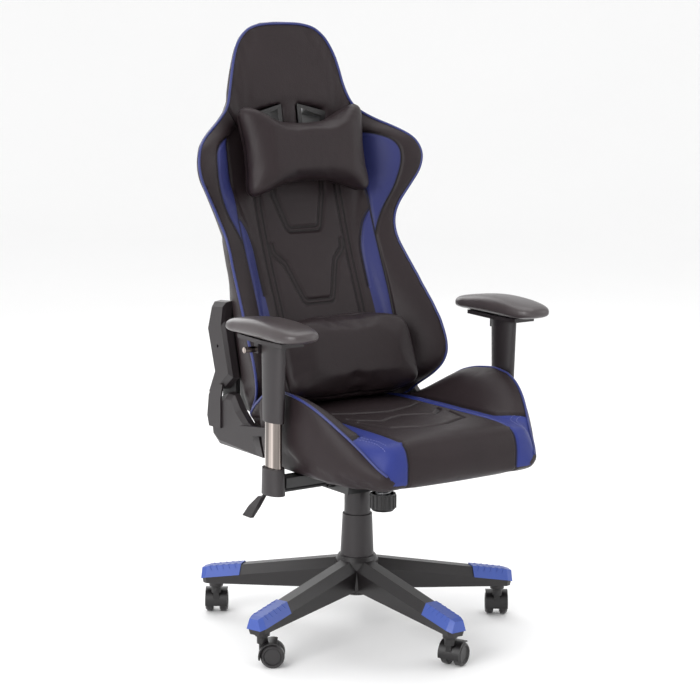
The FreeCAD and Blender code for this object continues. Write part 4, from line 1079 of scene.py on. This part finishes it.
# Distance along the pad, its half-width, and the heights of its top and underside.
PAD_STATIONS = [
    (-0.236, 0.006, 0.6790, 0.6730),
    (-0.233, 0.019, 0.6835, 0.6690),
    (-0.226, 0.029, 0.6875, 0.6660),
    (-0.212, 0.038, 0.6915, 0.6630),
    (-0.190, 0.043, 0.6955, 0.6606),
    (-0.150, 0.044, 0.6995, 0.6604),
    (-0.110, 0.042, 0.7005, 0.6604),
    (-0.070, 0.039, 0.6980, 0.6604),
    (-0.030, 0.036, 0.6925, 0.6604),
    (0.000, 0.033, 0.6875, 0.6606),
    (0.014, 0.026, 0.6840, 0.6625),
    (0.020, 0.017, 0.6810, 0.6650),
    (0.023, 0.006, 0.6770, 0.6690),
]


ARM_X = 0.289
PAD_SIDES = 36


def make_pad(side, sign):
    """The armrest's moulded pad: rounded, wider towards the front, and slightly arched."""
    rings = []
    nose, length = np.linspace(-0.236, -0.206, 12), np.linspace(-0.2, 0.0, 24)
    for y in np.concatenate([nose, length, np.linspace(0.003, 0.023, 9)]):
        half, top, bottom = stations(PAD_STATIONS, y)[0]
        middle = bottom + 0.42 * (top - bottom)
        ring = []
        for k in range(PAD_SIDES):
            angle = 2 * math.pi * k / PAD_SIDES
            c, s = math.cos(angle), math.sin(angle)
            x = half * math.copysign(abs(c) ** 0.72, c)
            reach = top - middle if s > 0 else middle - bottom
            z = reach * math.copysign(abs(s) ** 0.78, s)
            ring.append((sign * ARM_X + x, y, middle + z))
        rings.append(ring)
    piece = loft("arm_pad_skin_" + side, rings)
    apply_modifier(piece, "SUBSURF", levels=1, render_levels=1)
    shade_smooth(piece)
    dress(piece, SOFT_PAD, "armrest_" + side)
    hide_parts("arm_pad_" + side)


# ---------------------------------------------------------------- foot covers

# Directions of the legs, and how far out along a leg each rib starts. A rib is a bent line: out, and across.
LEG_ANGLES = [-90 + 72 * k for k in range(5)]
CHEVRON_STARTS = [0.268, 0.282, 0.296, 0.310, 0.324]
RIB_RADIUS = 0.0010
CHEVRON = [(-0.0030, 0.0085), (0.0030, 0.0130), (-0.0030, 0.0175)]


def make_chevrons():
    """Small raised V ribs on both flanks of each foot cover."""
    tree = surface_tree(frame["nodes"]["foot_covers"])
    ribs = []
    for angle in LEG_ANGLES:
        turn = Matrix.Rotation(math.radians(angle), 3, "Z")
        for start in CHEVRON_STARTS:
            for sign in (1, -1):
                spots = [turn @ Vector((start + run, sign * across, 0)) for run, across in CHEVRON]
                line = lay_on(tree, evenly([tuple(spot) for spot in spots], 0.0015), (0, 0, -1), -1.0)
                ribs.append(tube("foot_cover_ribs", line, RIB_RADIUS))
    dress(merge("foot_cover_ribs", ribs), FOOT_BLUE, "base")


# ---------------------------------------------------------------- scene


# The studio sheet lies flat around the chair and curves up all round, so it shows no edge.
SHEET_FLAT = 7.0
SHEET_BEND = 3.5
SHEET_SIDES = 64


def make_studio():
    bend = np.linspace(0, math.pi / 2, 20)
    profile = [(2.0, 0)]
    profile += [(SHEET_FLAT + SHEET_BEND * math.sin(a), SHEET_BEND * (1 - math.cos(a))) for a in bend]
    turns = np.linspace(0, 2 * math.pi, SHEET_SIDES, endpoint=False)
    rings = [[(r * math.cos(t), r * math.sin(t), z - 0.0005) for t in turns] for r, z in profile]
    points = [point for ring in rings for point in ring]
    faces = [tuple(range(SHEET_SIDES))]
    for row in range(len(rings) - 1):
        for k in range(SHEET_SIDES):
            low, after = row * SHEET_SIDES, (k + 1) % SHEET_SIDES
            faces.append((low + k, low + SHEET_SIDES + k, low + SHEET_SIDES + after, low + after))
    floor = new_piece("floor", points, faces)
    shade_smooth(floor)
    paint = Finish("floor_paint", Roughness=0.9)
    paint.feed("Base Color", paint.blend(paint.noise(0.7), (0.93, 0.93, 0.93, 1), (0.96, 0.96, 0.96, 1)))
    floor.data.materials.append(paint.material)
    world = bpy.data.worlds.new("studio")
    bpy.context.scene.world = world
    world.use_nodes = True
    background = world.node_tree.nodes["Background"]
    background.inputs["Color"].default_value = (1.0, 1.0, 1.0, 1.0)
    background.inputs["Strength"].default_value = 0.97
    softbox("key", (-3.4, -1.2, 1.9), (0, 0, 0.7), 2.0, 2.4, 85)
    softbox("fill", (3.2, -2.2, 1.8), (0, 0, 0.7), 1.6, 2.6, 20)
    softbox("top", (0.2, 0.4, 3.4), (0, 0, 0.6), 2.6, 2.6, 34)
    softbox("rear", (0.6, 3.4, 2.2), (0, 0, 0.8), 2.2, 2.2, 24)
    bpy.context.scene.view_settings.view_transform = "Standard"


make_camera()
make_studio()
finish_nodes()
make_backrest()
make_seat()
make_neck_pillow()
make_lumbar_pillow()
make_pad("right", -1)
make_pad("left", 1)
make_chevrons()
